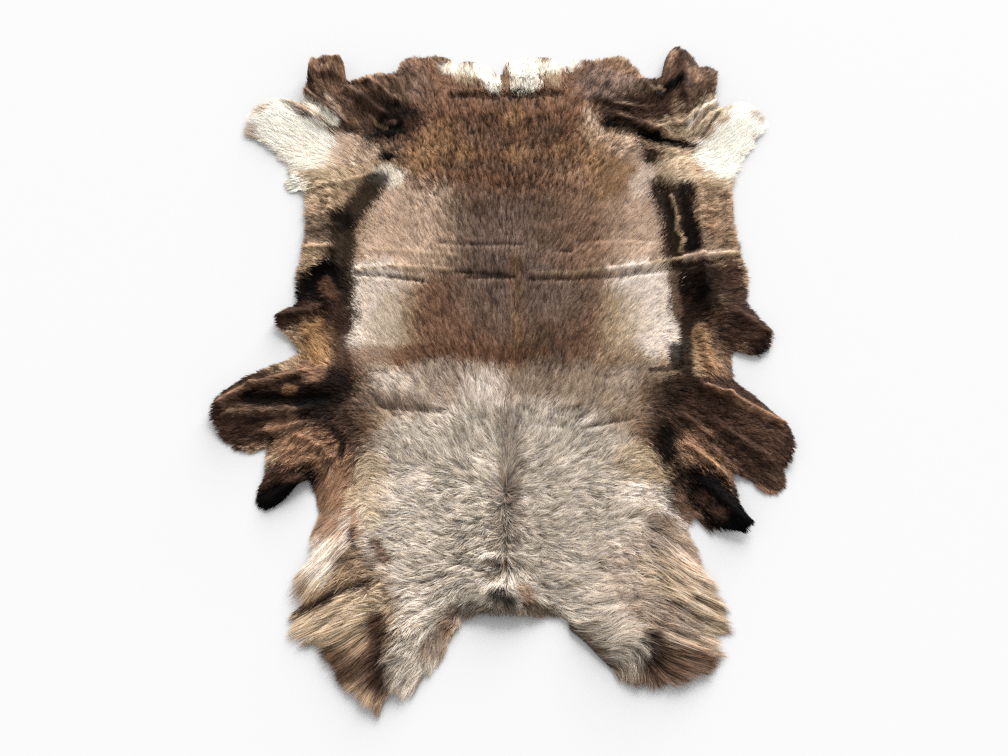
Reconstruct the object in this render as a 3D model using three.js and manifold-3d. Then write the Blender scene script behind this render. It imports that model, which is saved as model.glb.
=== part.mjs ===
// A reindeer hide, tanned with its coat on and laid out flat, coat side up.
//
// Millimetres, +Z up. The hide rests on Z = 0 with its neck end towards -Y and its rump
// towards +Y. Left and right are as seen from the neck end, so left is -X.
// The origin is on the ground under the middle of the outline's box.
//
// A hide is one piece, so it is one solid: the skin and the coat on it together.
// Its plan is the trunk, cut from a short table of sections, with a flap for each leg,
// tuft and lock of hair. Its relief is the rise of the folds, and on top of that the skin
// and the depth of the lying coat, which thins out towards the rim.

import * as THREE from 'three';
import { mergeVertices } from 'three/addons/utils/BufferGeometryUtils.js';
import Module from 'manifold-3d';

const wasm = await Module();
wasm.setup();

// Driving dimensions.
const SKIN_THICKNESS = 2;
const SHORT_COAT = 6; // depth of the coat on the legs, where it is shortest
const RIM_COAT_SHARE = 0.45; // the coat's depth at the very rim, as a share of its full depth
const RIM_REACH = 55; // how far in from the rim the coat is back to its full depth
const RELIEF_CELL = 25; // grid step of the relief
const RELIEF_WIDTH = 1050;
const RELIEF_LENGTH = 1350;
const CUTTER_FLOOR = -5;
const CUTTER_HEIGHT = 130;
const TRUNK_DIVISIONS = 3; // straight pieces for each section of the trunk's curved edge
const FLAP_STEPS = 14; // straight pieces along each side of a flap
const ROUND_FROM = 0.72; // where along a flap its end starts to round off

// The trunk without legs, tufts and locks: where its two edges are at each section.
const TRUNK_SECTIONS = [
  { y: -490, left: -70, right: 84 },
  { y: -440, left: -200, right: 210 },
  { y: -370, left: -294, right: 283 },
  { y: -300, left: -298, right: 316 },
  { y: -230, left: -335, right: 360 },
  { y: -150, left: -352, right: 390 },
  { y: -60, left: -346, right: 399 },
  { y: 0, left: -350, right: 400 },
  { y: 100, left: -370, right: 438 },
  { y: 200, left: -361, right: 424 },
  { y: 300, left: -368, right: 424 },
  { y: 400, left: -385, right: 425 },
  { y: 480, left: -378, right: 404 },
  { y: 545, left: -290, right: 318 },
  { y: 572, left: -200, right: 240 },
];

// Flaps and locks: each is a strip through its root, middle and tip, with a width at each.
const FLAPS = [
  { name: 'left rump', root: [-152, 510], mid: [-148, 570], tip: [-151, 618], wide: [136, 130, 98] },
  { name: 'right rump', root: [180, 520], mid: [172, 568], tip: [158, 610], wide: [224, 194, 150] },
  { name: 'left tail tuft', root: [-55, 530], mid: [-52, 570], tip: [-42, 600], wide: [90, 88, 66] },
  { name: 'right tail tuft', root: [55, 540], mid: [55, 580], tip: [52, 615], wide: [120, 116, 96] },
  { name: 'left hind knob', root: [-328, 460], mid: [-334, 543], tip: [-336, 600], wide: [130, 88, 68] },
  { name: 'right hind knob', root: [352, 450], mid: [342, 550], tip: [336, 640], wide: [144, 98, 24] },
  { name: 'right knob corner', root: [370, 480], mid: [387, 538], tip: [400, 585], wide: [70, 54, 40] },
  { name: 'left hock', root: [-340, 412], mid: [-412, 438], tip: [-484, 464], wide: [190, 124, 92] },
  { name: 'right hock', root: [374, 394], mid: [436, 432], tip: [491, 472], wide: [200, 122, 70] },
  { name: 'left stifle tuft', root: [-350, 340], mid: [-380, 322], tip: [-406, 298], wide: [90, 76, 44] },
  { name: 'left elbow spike', root: [-320, 20], mid: [-362, 29], tip: [-400, 37], wide: [170, 80, 24] },
  { name: 'right elbow', root: [380, 34], mid: [424, 3], tip: [466, -19], wide: [130, 88, 54] },
  { name: 'left foreleg', root: [-320, -108], mid: [-408, -141], tip: [-470, -192], wide: [176, 148, 108] },
  { name: 'right foreleg', root: [350, -160], mid: [408, -192], tip: [465, -246], wide: [196, 148, 104] },
  { name: 'right foreleg nub', root: [400, -200], mid: [428, -240], tip: [446, -290], wide: [90, 74, 42] },
  { name: 'left armpit lobe', root: [-322, -188], mid: [-360, -262], tip: [-398, -313], wide: [170, 74, 38] },
  { name: 'right armpit hook', root: [322, -262], mid: [356, -324], tip: [406, -366], wide: [130, 80, 40] },
  { name: 'right hook finger', root: [370, -342], mid: [394, -357], tip: [422, -358], wide: [50, 34, 28] },
  { name: 'left neck', root: [-180, -340], mid: [-183, -500], tip: [-178, -643], wide: [250, 256, 34] },
  { name: 'right neck', root: [168, -350], mid: [214, -488], tip: [232, -606], wide: [250, 234, 66] },
  { name: 'right neck corner', root: [228, -490], mid: [273, -551], tip: [301, -583], wide: [130, 90, 50] },
  { name: 'left upper lock', root: [-256, -392], mid: [-306, -440], tip: [-356, -478], wide: [80, 52, 14] },
  { name: 'left lower lock', root: [-258, -450], mid: [-300, -494], tip: [-332, -529], wide: [90, 60, 20] },
  { name: 'right first lock', root: [248, -404], mid: [306, -444], tip: [369, -481], wide: [90, 48, 12] },
  { name: 'right second lock', root: [270, -460], mid: [320, -492], tip: [370, -513], wide: [60, 38, 10] },
  { name: 'right third lock', root: [250, -500], mid: [305, -530], tip: [352, -547], wide: [70, 44, 12] },
  { name: 'right fourth lock', root: [240, -520], mid: [290, -552], tip: [331, -564], wide: [80, 56, 18] },
];

// Folds: soft ridges where the skin itself lifts off the ground, from one end to the other.
const FOLDS = [
  { name: 'storage crease, left half', from: [-330, 140], to: [0, 146], reach: 42, rise: 4 },
  { name: 'storage crease, right half', from: [0, 146], to: [400, 152], reach: 46, rise: 6 },
  { name: 'left flank roll', from: [-330, 330], to: [-318, 90], reach: 50, rise: 11 },
  { name: 'right flank roll', from: [322, 350], to: [345, 90], reach: 52, rise: 13 },
  { name: 'right flank edge', from: [395, 310], to: [405, 110], reach: 45, rise: 9 },
  { name: 'left hind knob curl', from: [-395, 560], to: [-290, 575], reach: 62, rise: 26 },
  { name: 'left rump ruffle', from: [-290, 500], to: [-180, 585], reach: 55, rise: 18 },
  { name: 'right hind knob curl', from: [320, 520], to: [342, 580], reach: 60, rise: 28 },
  { name: 'right knob ruffle', from: [300, 450], to: [400, 540], reach: 55, rise: 16 },
  { name: 'left hock fold', from: [-350, 470], to: [-450, 490], reach: 55, rise: 14 },
  { name: 'right hock fold', from: [380, 440], to: [460, 480], reach: 55, rise: 14 },
  { name: 'left elbow pleat', from: [-300, 60], to: [-375, 35], reach: 48, rise: 14 },
  { name: 'right elbow pleat', from: [380, 60], to: [440, 5], reach: 50, rise: 16 },
  { name: 'left foreleg ridge', from: [-320, -95], to: [-460, -130], reach: 58, rise: 20 },
  { name: 'right foreleg ridge', from: [350, -100], to: [455, -200], reach: 60, rise: 20 },
  { name: 'left armpit ruck', from: [-300, -170], to: [-350, -255], reach: 55, rise: 16 },
  { name: 'right armpit ruck', from: [320, -240], to: [390, -335], reach: 52, rise: 18 },
  { name: 'left neck flap', from: [-215, -330], to: [-290, -440], reach: 60, rise: 16 },
  { name: 'left neck point', from: [-160, -520], to: [-190, -610], reach: 60, rise: 8 },
  { name: 'right neck edge', from: [150, -500], to: [290, -560], reach: 60, rise: 10 },
  { name: 'neck curl', from: [-25, -455], to: [20, -470], reach: 60, rise: 16 },
];

// The coat is deeper than SHORT_COAT by this much at the middle of each region.
const COAT_REGIONS = [
  { name: 'back and rump', x: 20, y: 260, reachX: 400, reachY: 460, more: 13 },
  { name: 'shoulders', x: 0, y: -160, reachX: 330, reachY: 260, more: 8 },
  { name: 'neck', x: 10, y: -370, reachX: 330, reachY: 220, more: 13 },
  { name: 'left neck lobe', x: -200, y: -510, reachX: 190, reachY: 180, more: 16 },
  { name: 'right neck lobe', x: 225, y: -500, reachX: 190, reachY: 170, more: 16 },
  { name: 'left hock', x: -425, y: 440, reachX: 120, reachY: 120, more: 6 },
  { name: 'right hock', x: 440, y: 430, reachX: 120, reachY: 120, more: 6 },
  { name: 'tail', x: 10, y: 580, reachX: 160, reachY: 80, more: 8 },
];

// Turns a closed geometry into a solid that can be joined and cut.
function solidFrom(geometry) {
  const bare = geometry.clone();
  bare.deleteAttribute('normal');
  bare.deleteAttribute('uv');
  const merged = mergeVertices(bare);
  const vertProperties = Float32Array.from(merged.attributes.position.array);
  const triVerts = Uint32Array.from(merged.index.array);
  return new wasm.Manifold(new wasm.Mesh({ numProp: 3, vertProperties, triVerts }));
}

// Stands a plan shape up as a prism taller than the hide.
function prismOf(shape, divisions) {
  const settings = { depth: CUTTER_HEIGHT, bevelEnabled: false, curveSegments: divisions };
  const geometry = new THREE.ExtrudeGeometry(shape, settings);
  geometry.translate(0, 0, CUTTER_FLOOR);
  return solidFrom(geometry);
}

// The trunk's plan: up the right edge and down the left one.
function trunkShape(sections) {
  const rightEdge = sections.map((s) => new THREE.Vector2(s.right, s.y));
  const leftEdge = sections.map((s) => new THREE.Vector2(s.left, s.y)).reverse();
  const shape = new THREE.Shape();
  shape.moveTo(rightEdge[0].x, rightEdge[0].y);
  shape.splineThru(rightEdge.slice(1));
  shape.lineTo(leftEdge[0].x, leftEdge[0].y);
  shape.splineThru(leftEdge.slice(1));
  shape.closePath();
  return shape;
}

// Half of a flap's width at t, from 0 at its root to 1 at its tip.
function flapHalfWidth(wide, t) {
  const [rootWidth, midWidth, tipWidth] = wide;
  const width = t < 0.5
    ? THREE.MathUtils.lerp(rootWidth, midWidth, 2 * t)
    : THREE.MathUtils.lerp(midWidth, tipWidth, 2 * t - 1);
  const endShare = Math.max(0, (t - ROUND_FROM) / (1 - ROUND_FROM));
  return 0.5 * width * Math.sqrt(1 - endShare * endShare);
}

// A flap's plan: a strip of changing width along a curve, with a round end.
function flapShape({ root, mid, tip, wide }) {
  const spine = new THREE.SplineCurve([root, mid, tip].map(([x, y]) => new THREE.Vector2(x, y)));
  const rightSide = [];
  const leftSide = [];
  for (let step = 0; step < FLAP_STEPS; step += 1) {
    const t = step / FLAP_STEPS;
    const centre = spine.getPoint(t);
    const along = spine.getTangent(t);
    const across = new THREE.Vector2(along.y, -along.x).multiplyScalar(flapHalfWidth(wide, t));
    rightSide.push(centre.clone().add(across));
    leftSide.push(centre.clone().sub(across));
  }
  const end = new THREE.Vector2(tip[0], tip[1]);
  return new THREE.Shape([...rightSide, end, ...leftSide.reverse()]);
}

// The whole plan as one tall prism.
function planPrism() {
  let plan = prismOf(trunkShape(TRUNK_SECTIONS), TRUNK_DIVISIONS);
  for (const flap of FLAPS) {
    plan = plan.add(prismOf(flapShape(flap), 1));
  }
  return plan;
}

// The plan's rim as straight segments, read from the foot of the prism's walls.
function rimSegments(prism) {
  const { vertProperties, triVerts } = prism.getMesh();
  const segments = [];
  const isFoot = (v) => vertProperties[3 * v + 2] < CUTTER_FLOOR + 1;
  for (let i = 0; i < triVerts.length; i += 3) {
    const foot = [triVerts[i], triVerts[i + 1], triVerts[i + 2]].filter(isFoot);
    if (foot.length === 2) {
      const [a, b] = foot.map((v) => new THREE.Vector3(vertProperties[3 * v], vertProperties[3 * v + 1], 0));
      segments.push(new THREE.Line3(a, b));
    }
  }
  return segments;
}

// 0 at the rim, rising softly to 1 at RIM_REACH inside it.
function rimShare(x, y, segments) {
  const point = new THREE.Vector3(x, y, 0);
  const nearest = new THREE.Vector3();
  let distance = Infinity;
  for (const segment of segments) {
    segment.closestPointToPoint(point, true, nearest);
    distance = Math.min(distance, nearest.distanceTo(point));
  }
  return THREE.MathUtils.smoothstep(distance, 0, RIM_REACH);
}

// A soft hump: 1 at distance 0, down to 0 at distance 1.
function softHump(distance) {
  return distance < 1 ? 0.5 + 0.5 * Math.cos(Math.PI * distance) : 0;
}

// How far the folds lift the skin at a place.
function foldRise(x, y) {
  const point = new THREE.Vector3(x, y, 0);
  const nearest = new THREE.Vector3();
  let rise = 0;
  for (const fold of FOLDS) {
    const crest = new THREE.Line3(new THREE.Vector3(...fold.from, 0), new THREE.Vector3(...fold.to, 0));
    crest.closestPointToPoint(point, true, nearest);
    rise += fold.rise * softHump(nearest.distanceTo(point) / fold.reach);
  }
  return rise;
}

// Depth of the lying coat at a place, away from the rim.
function coatDepth(x, y) {
  let depth = SHORT_COAT;
  for (const region of COAT_REGIONS) {
    const distance = Math.hypot((x - region.x) / region.reachX, (y - region.y) / region.reachY);
    depth += region.more * softHump(distance);
  }
  return depth;
}

// A closed slab over the whole plan, with the hide's underside and coat as its two faces.
function reliefSlab(segments) {
  const columns = Math.round(RELIEF_WIDTH / RELIEF_CELL);
  const rows = Math.round(RELIEF_LENGTH / RELIEF_CELL);
  const under = [];
  const over = [];
  for (let row = 0; row <= rows; row += 1) {
    for (let column = 0; column <= columns; column += 1) {
      const x = column * RELIEF_CELL - RELIEF_WIDTH / 2;
      const y = row * RELIEF_CELL - RELIEF_LENGTH / 2;
      const rise = foldRise(x, y);
      const share = THREE.MathUtils.lerp(RIM_COAT_SHARE, 1, rimShare(x, y, segments));
      under.push(x, y, rise);
      over.push(x, y, rise + SKIN_THICKNESS + coatDepth(x, y) * share);
    }
  }
  const layer = (rows + 1) * (columns + 1);
  const index = [];
  const quad = (a, b, c, d) => index.push(a, b, c, a, c, d);
  const place = (column, row) => row * (columns + 1) + column;
  for (let row = 0; row < rows; row += 1) {
    for (let column = 0; column < columns; column += 1) {
      const [a, b] = [place(column, row), place(column + 1, row)];
      const [c, d] = [place(column + 1, row + 1), place(column, row + 1)];
      quad(layer + a, layer + b, layer + c, layer + d);
      index.push(a, c, b, a, d, c);
    }
  }
  for (let column = 0; column < columns; column += 1) {
    const [near, nearNext] = [place(column, 0), place(column + 1, 0)];
    const [far, farNext] = [place(column, rows), place(column + 1, rows)];
    quad(near, nearNext, layer + nearNext, layer + near);
    quad(farNext, far, layer + far, layer + farNext);
  }
  for (let row = 0; row < rows; row += 1) {
    const [left, leftNext] = [place(0, row), place(0, row + 1)];
    const [right, rightNext] = [place(columns, row), place(columns, row + 1)];
    quad(leftNext, left, layer + left, layer + leftNext);
    quad(right, rightNext, layer + rightNext, layer + right);
  }
  const geometry = new THREE.BufferGeometry();
  geometry.setAttribute('position', new THREE.Float32BufferAttribute([...under, ...over], 3));
  geometry.setIndex(index);
  return solidFrom(geometry);
}

// Back from a solid to a geometry with the origin under the middle of its box.
function centredGeometry(solid) {
  const { vertProperties, triVerts } = solid.getMesh();
  const geometry = new THREE.BufferGeometry();
  geometry.setAttribute('position', new THREE.BufferAttribute(Float32Array.from(vertProperties), 3));
  geometry.setIndex(new THREE.BufferAttribute(Uint32Array.from(triVerts), 1));
  geometry.computeBoundingBox();
  const middle = geometry.boundingBox.getCenter(new THREE.Vector3());
  geometry.translate(-middle.x, -middle.y, 0);
  geometry.computeVertexNormals();
  return geometry;
}

const plan = planPrism();
const hideSolid = plan.intersect(reliefSlab(rimSegments(plan)));

const coatMaterial = new THREE.MeshStandardMaterial({ color: 0x6b5443, roughness: 0.85, metalness: 0 });
const hide = new THREE.Mesh(centredGeometry(hideSolid), coatMaterial);
hide.name = 'hide';

const model = new THREE.Group();
model.add(hide);

export default model;
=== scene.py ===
# %% [markdown]
# # A reindeer hide laid out flat, coat side up
#
# A hide is one skin with its coat still on it. The skin is a soft sheet about two millimetres
# thick that lies on the ground and lifts in a few folds. The coat is what the eye sees: short
# and dense on the back, glossy and dark on the legs, ruffled and pale on the neck, and long
# in the two locks at the neck's corners. So this lesson makes a sheet first, and then plants
# the coat on it, hair by hair, in layers.

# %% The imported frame
import math
from collections import namedtuple
from itertools import product

import bmesh
import bpy
import numpy as np
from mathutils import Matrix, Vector
from mathutils.bvhtree import BVHTree
from mathutils.kdtree import KDTree


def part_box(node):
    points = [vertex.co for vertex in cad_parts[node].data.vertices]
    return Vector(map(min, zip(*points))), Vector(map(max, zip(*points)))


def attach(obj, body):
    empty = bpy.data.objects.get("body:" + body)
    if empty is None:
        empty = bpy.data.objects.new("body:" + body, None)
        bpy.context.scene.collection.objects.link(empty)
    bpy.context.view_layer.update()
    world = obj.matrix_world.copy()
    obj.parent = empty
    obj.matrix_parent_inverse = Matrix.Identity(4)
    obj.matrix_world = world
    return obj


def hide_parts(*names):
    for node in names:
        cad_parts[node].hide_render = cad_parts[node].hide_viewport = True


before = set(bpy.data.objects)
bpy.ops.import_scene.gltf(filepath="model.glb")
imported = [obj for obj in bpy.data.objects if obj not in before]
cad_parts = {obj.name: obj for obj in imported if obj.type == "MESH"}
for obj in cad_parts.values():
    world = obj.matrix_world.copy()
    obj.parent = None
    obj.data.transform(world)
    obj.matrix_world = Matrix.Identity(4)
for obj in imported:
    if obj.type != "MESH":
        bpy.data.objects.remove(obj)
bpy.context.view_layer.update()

MM = 0.001

# %% [markdown]
# ## The camera
#
# The hide is seen from its neck end, from a little above a standing person's eye, looking
# steeply down, through a lens of about normal length. The camera comes first, so that every
# later step can be judged through it.

# %% The camera
LENS = 43.86
EYE = (-0.0015, -0.9618, 1.9032)
LOOK_DOWN = math.radians(65)

bpy.ops.object.select_all(action="DESELECT")
bpy.ops.object.camera_add(location=EYE, rotation=(math.pi / 2 - LOOK_DOWN, 0, 0))
camera = bpy.context.object
camera.name = "camera"
camera.data.lens = LENS
bpy.context.scene.camera = camera
print("camera at", tuple(round(v, 3) for v in camera.location))

# %% [markdown]
# ## Reading the ground plan from the frame
#
# The frame holds the hide as one closed solid: its underside is the rise of the folds, and
# its top is the coat. Rays shot up and down through it give both as maps on a square grid.
# The solid's upright walls are the rim, so the distance to the nearest wall says how far in
# a place lies. Everything later asks these three maps instead of the faceted solid.

# %% Maps of the rise, the coat's depth and the distance from the rim
MAP_STEP = 4 * MM
MAP_MARGIN = 40 * MM
SKIN_THICKNESS = 2 * MM
RIM_SAMPLE = 2 * MM
WALL_SLOPE = 0.2

low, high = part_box("hide")
map_x = np.arange(low.x - MAP_MARGIN, high.x + MAP_MARGIN, MAP_STEP)
map_y = np.arange(low.y - MAP_MARGIN, high.y + MAP_MARGIN, MAP_STEP)

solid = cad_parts["hide"].data
solid_points = np.array([v.co for v in solid.vertices])
solid_faces = [tuple(p.vertices) for p in solid.polygons]
solid_tree = BVHTree.FromPolygons([Vector(p) for p in solid_points], solid_faces)


def height_of(x, y, start, heading):
    """Height at which an upright ray meets the solid, or None beside it."""
    hit = solid_tree.ray_cast(Vector((x, y, start)), Vector((0, 0, heading)))[0]
    return None if hit is None else hit.z


def rim_points():
    """Places along the foot of the solid's walls, a short step apart."""
    places = []
    for polygon in solid.polygons:
        if abs(polygon.normal.z) > WALL_SLOPE:
            continue
        flat = solid_points[list(polygon.vertices)][:, :2]
        spans = [(flat[i], flat[j]) for i, j in ((0, 1), (1, 2), (2, 0))]
        start, end = max(spans, key=lambda span: np.hypot(*(span[1] - span[0])))
        steps = max(1, int(np.hypot(*(end - start)) / RIM_SAMPLE))
        places += [start + (end - start) * k / steps for k in range(steps + 1)]
    return np.array(places)


rim = rim_points()
rim_tree = KDTree(len(rim))
for number, place in enumerate(rim):
    rim_tree.insert((place[0], place[1], 0), number)
rim_tree.balance()

shape = (len(map_y), len(map_x))
under = np.zeros(shape)
over = np.zeros(shape)
inside = np.zeros(shape)
from_rim = np.zeros(shape)
for row, y in enumerate(map_y):
    for column, x in enumerate(map_x):
        from_rim[row, column] = rim_tree.find((x, y, 0))[2]
        foot = height_of(x, y, low.z - MAP_MARGIN, 1)
        if foot is not None:
            inside[row, column] = 1
            under[row, column] = foot
            over[row, column] = height_of(x, y, high.z + MAP_MARGIN, -1)
from_rim = np.where(inside > 0, from_rim, -from_rim)
plan_area = inside.sum() * MAP_STEP ** 2
print("map cells", shape, "rim points", len(rim), "plan area", round(plan_area, 3))

# %% Softening the maps
TINY = 1e-9
SOFT_CELLS = 4
SPREAD_CELLS = 11
LAST_CELL = 1.001  # keeps a place at the far edge within the last cell


def box_sum(values, cells):
    """Sum over the square of cells around each cell."""
    for axis in (0, 1):
        count = values.shape[axis]
        padding = [(0, 0), (0, 0)]
        padding[axis] = (cells + 1, cells)
        running = np.cumsum(np.pad(values, padding), axis)
        ends = np.arange(count) + 2 * cells + 1
        values = np.take(running, ends, axis) - np.take(running, np.arange(count), axis)
    return values


def softened(values, weights):
    """Near average where the weights reach, and a wider average beyond that."""
    near, near_count = box_sum(values * weights, SOFT_CELLS), box_sum(weights, SOFT_CELLS)
    far, far_count = box_sum(values * weights, SPREAD_CELLS), box_sum(weights, SPREAD_CELLS)
    far = far / np.maximum(far_count, TINY)
    mixed = np.where(near_count > 0.5, near / np.maximum(near_count, TINY), far)
    return box_sum(mixed, 1) / box_sum(np.ones(shape), 1)


def read_map(values, x, y):
    """Value of a map at places between its cells."""
    u = np.clip((x - map_x[0]) / MAP_STEP, 0, len(map_x) - LAST_CELL)
    v = np.clip((y - map_y[0]) / MAP_STEP, 0, len(map_y) - LAST_CELL)
    column, row = u.astype(int), v.astype(int)
    fu, fv = u - column, v - row
    lower = values[row, column] * (1 - fu) + values[row, column + 1] * fu
    upper = values[row + 1, column] * (1 - fu) + values[row + 1, column + 1] * fu
    return lower * (1 - fv) + upper * fv


rise_map = softened(under, inside)
coat_map = softened(over - under - SKIN_THICKNESS, inside)
plan_x, plan_y = np.meshgrid(map_x, map_y)
print("coat depth, mm:", round(coat_map.min() / MM, 1), "to", round(coat_map.max() / MM, 1))

# %% [markdown]
# ## Creases
#
# The frame has the large folds. The small ones are added here: ridges where the thin leg
# skin puckers, and grooves where the coat parts over an old storage crease. Each is a soft
# hump along a straight crest. A ridge lifts skin and coat together, and a groove only
# presses the coat down, because the skin already lies on the ground. The table is in
# millimetres from the middle of the hide, and a groove has a lift below 0.

# %% Small ridges and grooves
Crease = namedtuple("Crease", "place x0 y0 x1 y1 reach lift")
CREASES = [
    Crease("storage crease, left lip", -264, 133, -200, 138, 5, 4),
    Crease("storage crease, left lip", -200, 138, -88, 129, 5, 4),
    Crease("storage crease, left groove", -262, 124, -205, 120, 6, -5),
    Crease("storage crease, left groove", -205, 120, -145, 110, 5, -9),
    Crease("storage crease, middle", -88, 126, 4, 120, 4, -10),
    Crease("storage crease, middle", -70, 116, 16, 114, 4, -8),
    Crease("storage crease, right lip", 40, 120, 120, 122, 5, 4),
    Crease("storage crease, right lip", 120, 122, 180, 131, 5, 4),
    Crease("storage crease, right lip", 180, 131, 300, 147, 6, 5),
    Crease("storage crease, right lip", 300, 147, 424, 166, 8, 7),
    Crease("storage crease, right groove", 40, 112, 120, 113, 5, -6),
    Crease("storage crease, right groove", 120, 113, 190, 120, 6, -6),
    Crease("storage crease, right groove", 190, 120, 290, 132, 8, -8),
    Crease("storage crease, right groove", 290, 132, 420, 150, 7, -7),
    Crease("second crease, lip", -240, 176, -90, 158, 6, 2),
    Crease("second crease, lip", -90, 158, -84, 157, 6, 2),
    Crease("faint crease", -120, 186, -60, 182, 4, -6),
    Crease("faint crease", -60, 182, 30, 181, 4, -6),
    Crease("faint crease", 130, 186, 205, 198, 5, -3),
    Crease("faint crease", 205, 198, 270, 192, 5, -3),
    Crease("faint crease", 96, 168, 118, 166, 4, -6),
    Crease("tail tuft", -52, 550, -16, 536, 16, 5),
    Crease("tail tuft", 18, 554, 56, 548, 18, 5),
    Crease("tail parting", -104, 512, 106, 516, 6, -6),
    Crease("left flank wrinkle", -320, 290, -312, 60, 13, 9),
    Crease("left flank groove", -292, 300, -290, 90, 12, -6),
    Crease("left outer pucker", -366, 215, -300, 222, 9, 5),
    Crease("left outer pucker", -368, 180, -305, 172, 9, 6),
    Crease("left outer pucker", -362, 128, -300, 140, 10, 8),
    Crease("right flank wrinkle", 302, 280, 316, 175, 9, 7),
    Crease("right flank wrinkle", 352, 320, 350, 90, 12, 9),
    Crease("right flank groove", 288, 300, 318, 170, 12, -6),
    Crease("right outer pucker", 372, 318, 366, 215, 7, 5),
    Crease("right outer pucker", 405, 300, 398, 190, 8, 6),
    Crease("right outer pucker", 350, 60, 360, 130, 10, 8),
    Crease("left haunch ridge", -385, 526, -300, 448, 9, 12),
    Crease("left haunch ridge", -415, 500, -335, 440, 9, 8),
    Crease("left haunch pucker", -300, 520, -228, 470, 14, 10),
    Crease("left haunch pucker", -262, 540, -205, 500, 12, 10),
    Crease("left haunch groove", -300, 430, -190, 445, 14, -5),
    Crease("left haunch crease", -361, 299, -236, 339, 7, 4),
    Crease("left knob curl", -372, 552, -372, 600, 12, 12),
    Crease("left knob curl", -352, 600, -318, 585, 10, 9),
    Crease("left knob curl", -335, 545, -318, 600, 10, 8),
    Crease("right haunch ridge", 281, 420, 318, 447, 9, 10),
    Crease("right haunch pucker", 190, 504, 262, 482, 14, 6),
    Crease("right haunch pucker", 215, 468, 300, 425, 14, 6),
    Crease("right haunch pucker", 262, 552, 290, 500, 12, 10),
    Crease("right haunch ridge", 330, 440, 405, 500, 10, 8),
    Crease("right haunch groove", 403, 461, 355, 410, 8, -5),
    Crease("right knob ridge", 335, 500, 345, 610, 13, 12),
    Crease("right knob ridge", 372, 490, 395, 560, 12, 9),
    Crease("left elbow pleat", -312, 50, -392, 36, 13, 10),
    Crease("left elbow pleat", -322, 18, -360, -10, 12, 6),
    Crease("right elbow pleat", 338, 20, 352, -60, 12, 8),
    Crease("right elbow roll", 408, 40, 452, 6, 14, 9),
    Crease("right brisket groove", 300, -20, 290, -60, 10, -6),
    Crease("left foreleg ridge", -340, -72, -428, -97, 13, 12),
    Crease("left foreleg ridge", -428, -97, -478, -128, 12, 12),
    Crease("left foreleg groove", -430, -122, -300, -118, 12, -5),
    Crease("left foreleg ridge", -465, -150, -330, -140, 12, 8),
    Crease("left foreleg pucker", -410, -180, -330, -166, 12, 8),
    Crease("left armpit swirl", -345, -190, -300, -212, 12, 10),
    Crease("left armpit swirl", -330, -235, -280, -225, 12, 8),
    Crease("left armpit lobe", -385, -300, -330, -262, 14, 8),
    Crease("right foreleg ridge", 335, -100, 378, -117, 11, 12),
    Crease("right foreleg ridge", 378, -117, 474, -171, 11, 12),
    Crease("right foreleg pucker", 345, -160, 440, -235, 14, 8),
    Crease("right foreleg pucker", 300, -150, 345, -190, 12, 9),
    Crease("right armpit fan", 305, -205, 362, -262, 10, 9),
    Crease("right armpit fan", 330, -195, 385, -250, 9, 6),
    Crease("right hook roll", 325, -275, 398, -348, 17, 4),
    Crease("left neck wrinkle", -209, -130, -110, -141, 8, -7),
    Crease("right neck wrinkle", 90, -143, 145, -150, 8, -9),
    Crease("right neck wrinkle", 143, -167, 214, -150, 7, -7),
    Crease("right neck wrinkle", 100, -168, 60, -160, 7, -6),
    Crease("left neck overlap", -216, -434, -335, -482, 10, -9),
    Crease("left neck overlap", -200, -500, -196, -600, 12, -6),
    Crease("right neck overlap", 232, -505, 330, -545, 9, -7),
    Crease("nape curl", -34, -398, 30, -396, 9, 9),
    Crease("nape curl", -22, -428, 22, -424, 8, -8),
    Crease("nape curl", -24, -452, 24, -448, 9, 5),
    Crease("nape curl", -60, -472, 50, -476, 9, -8),
]
OVERHANG_FALL = 30 * MM
LEAST_COAT = 1.2 * MM
DEEPEST_PRESS = 0.75


def on_crest(x, y, row):
    """How far a place is from a row's crest line, in metres."""
    ax, ay = row.x0 * MM, row.y0 * MM
    bx, by = row.x1 * MM - ax, row.y1 * MM - ay
    share = ((x - ax) * bx + (y - ay) * by) / max(bx * bx + by * by, TINY)
    share = np.clip(share, 0, 1)
    return np.hypot(x - ax - share * bx, y - ay - share * by)


pressed = np.ones(shape)
for crease in CREASES:
    reach = crease.reach * MM
    away = np.minimum(on_crest(plan_x, plan_y, crease) / reach, 1)
    hump = 0.5 + 0.5 * np.cos(math.pi * away)
    if crease.lift > 0:
        rise_map += crease.lift * MM * hump
    else:
        depth = np.maximum(coat_map, TINY)
        pressed *= 1 - np.minimum(-crease.lift * MM / depth, DEEPEST_PRESS) * hump
rise_map *= np.clip(1 + from_rim / OVERHANG_FALL, 0, 1)
coat_map = np.maximum(coat_map * pressed, LEAST_COAT)
print(len(CREASES), "creases; highest rise, mm:", round(rise_map.max() / MM, 1))

# %% [markdown]
# ## Noise without nodes
#
# Hair is never even. Two kinds of unevenness are used: a soft noise that drifts over the
# hide, and tufts, which are small cells with a centre that neighbouring hairs lean towards.
# Both come from seeded tables of random numbers, so each run gives the same hide.

# %% Soft noise and tufts
TABLE_SIDE = 256
LUCKS = 4


def eased(share):
    """A straight slope from 0 to 1, made flat at both ends."""
    return share * share * (3 - 2 * share)


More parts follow.
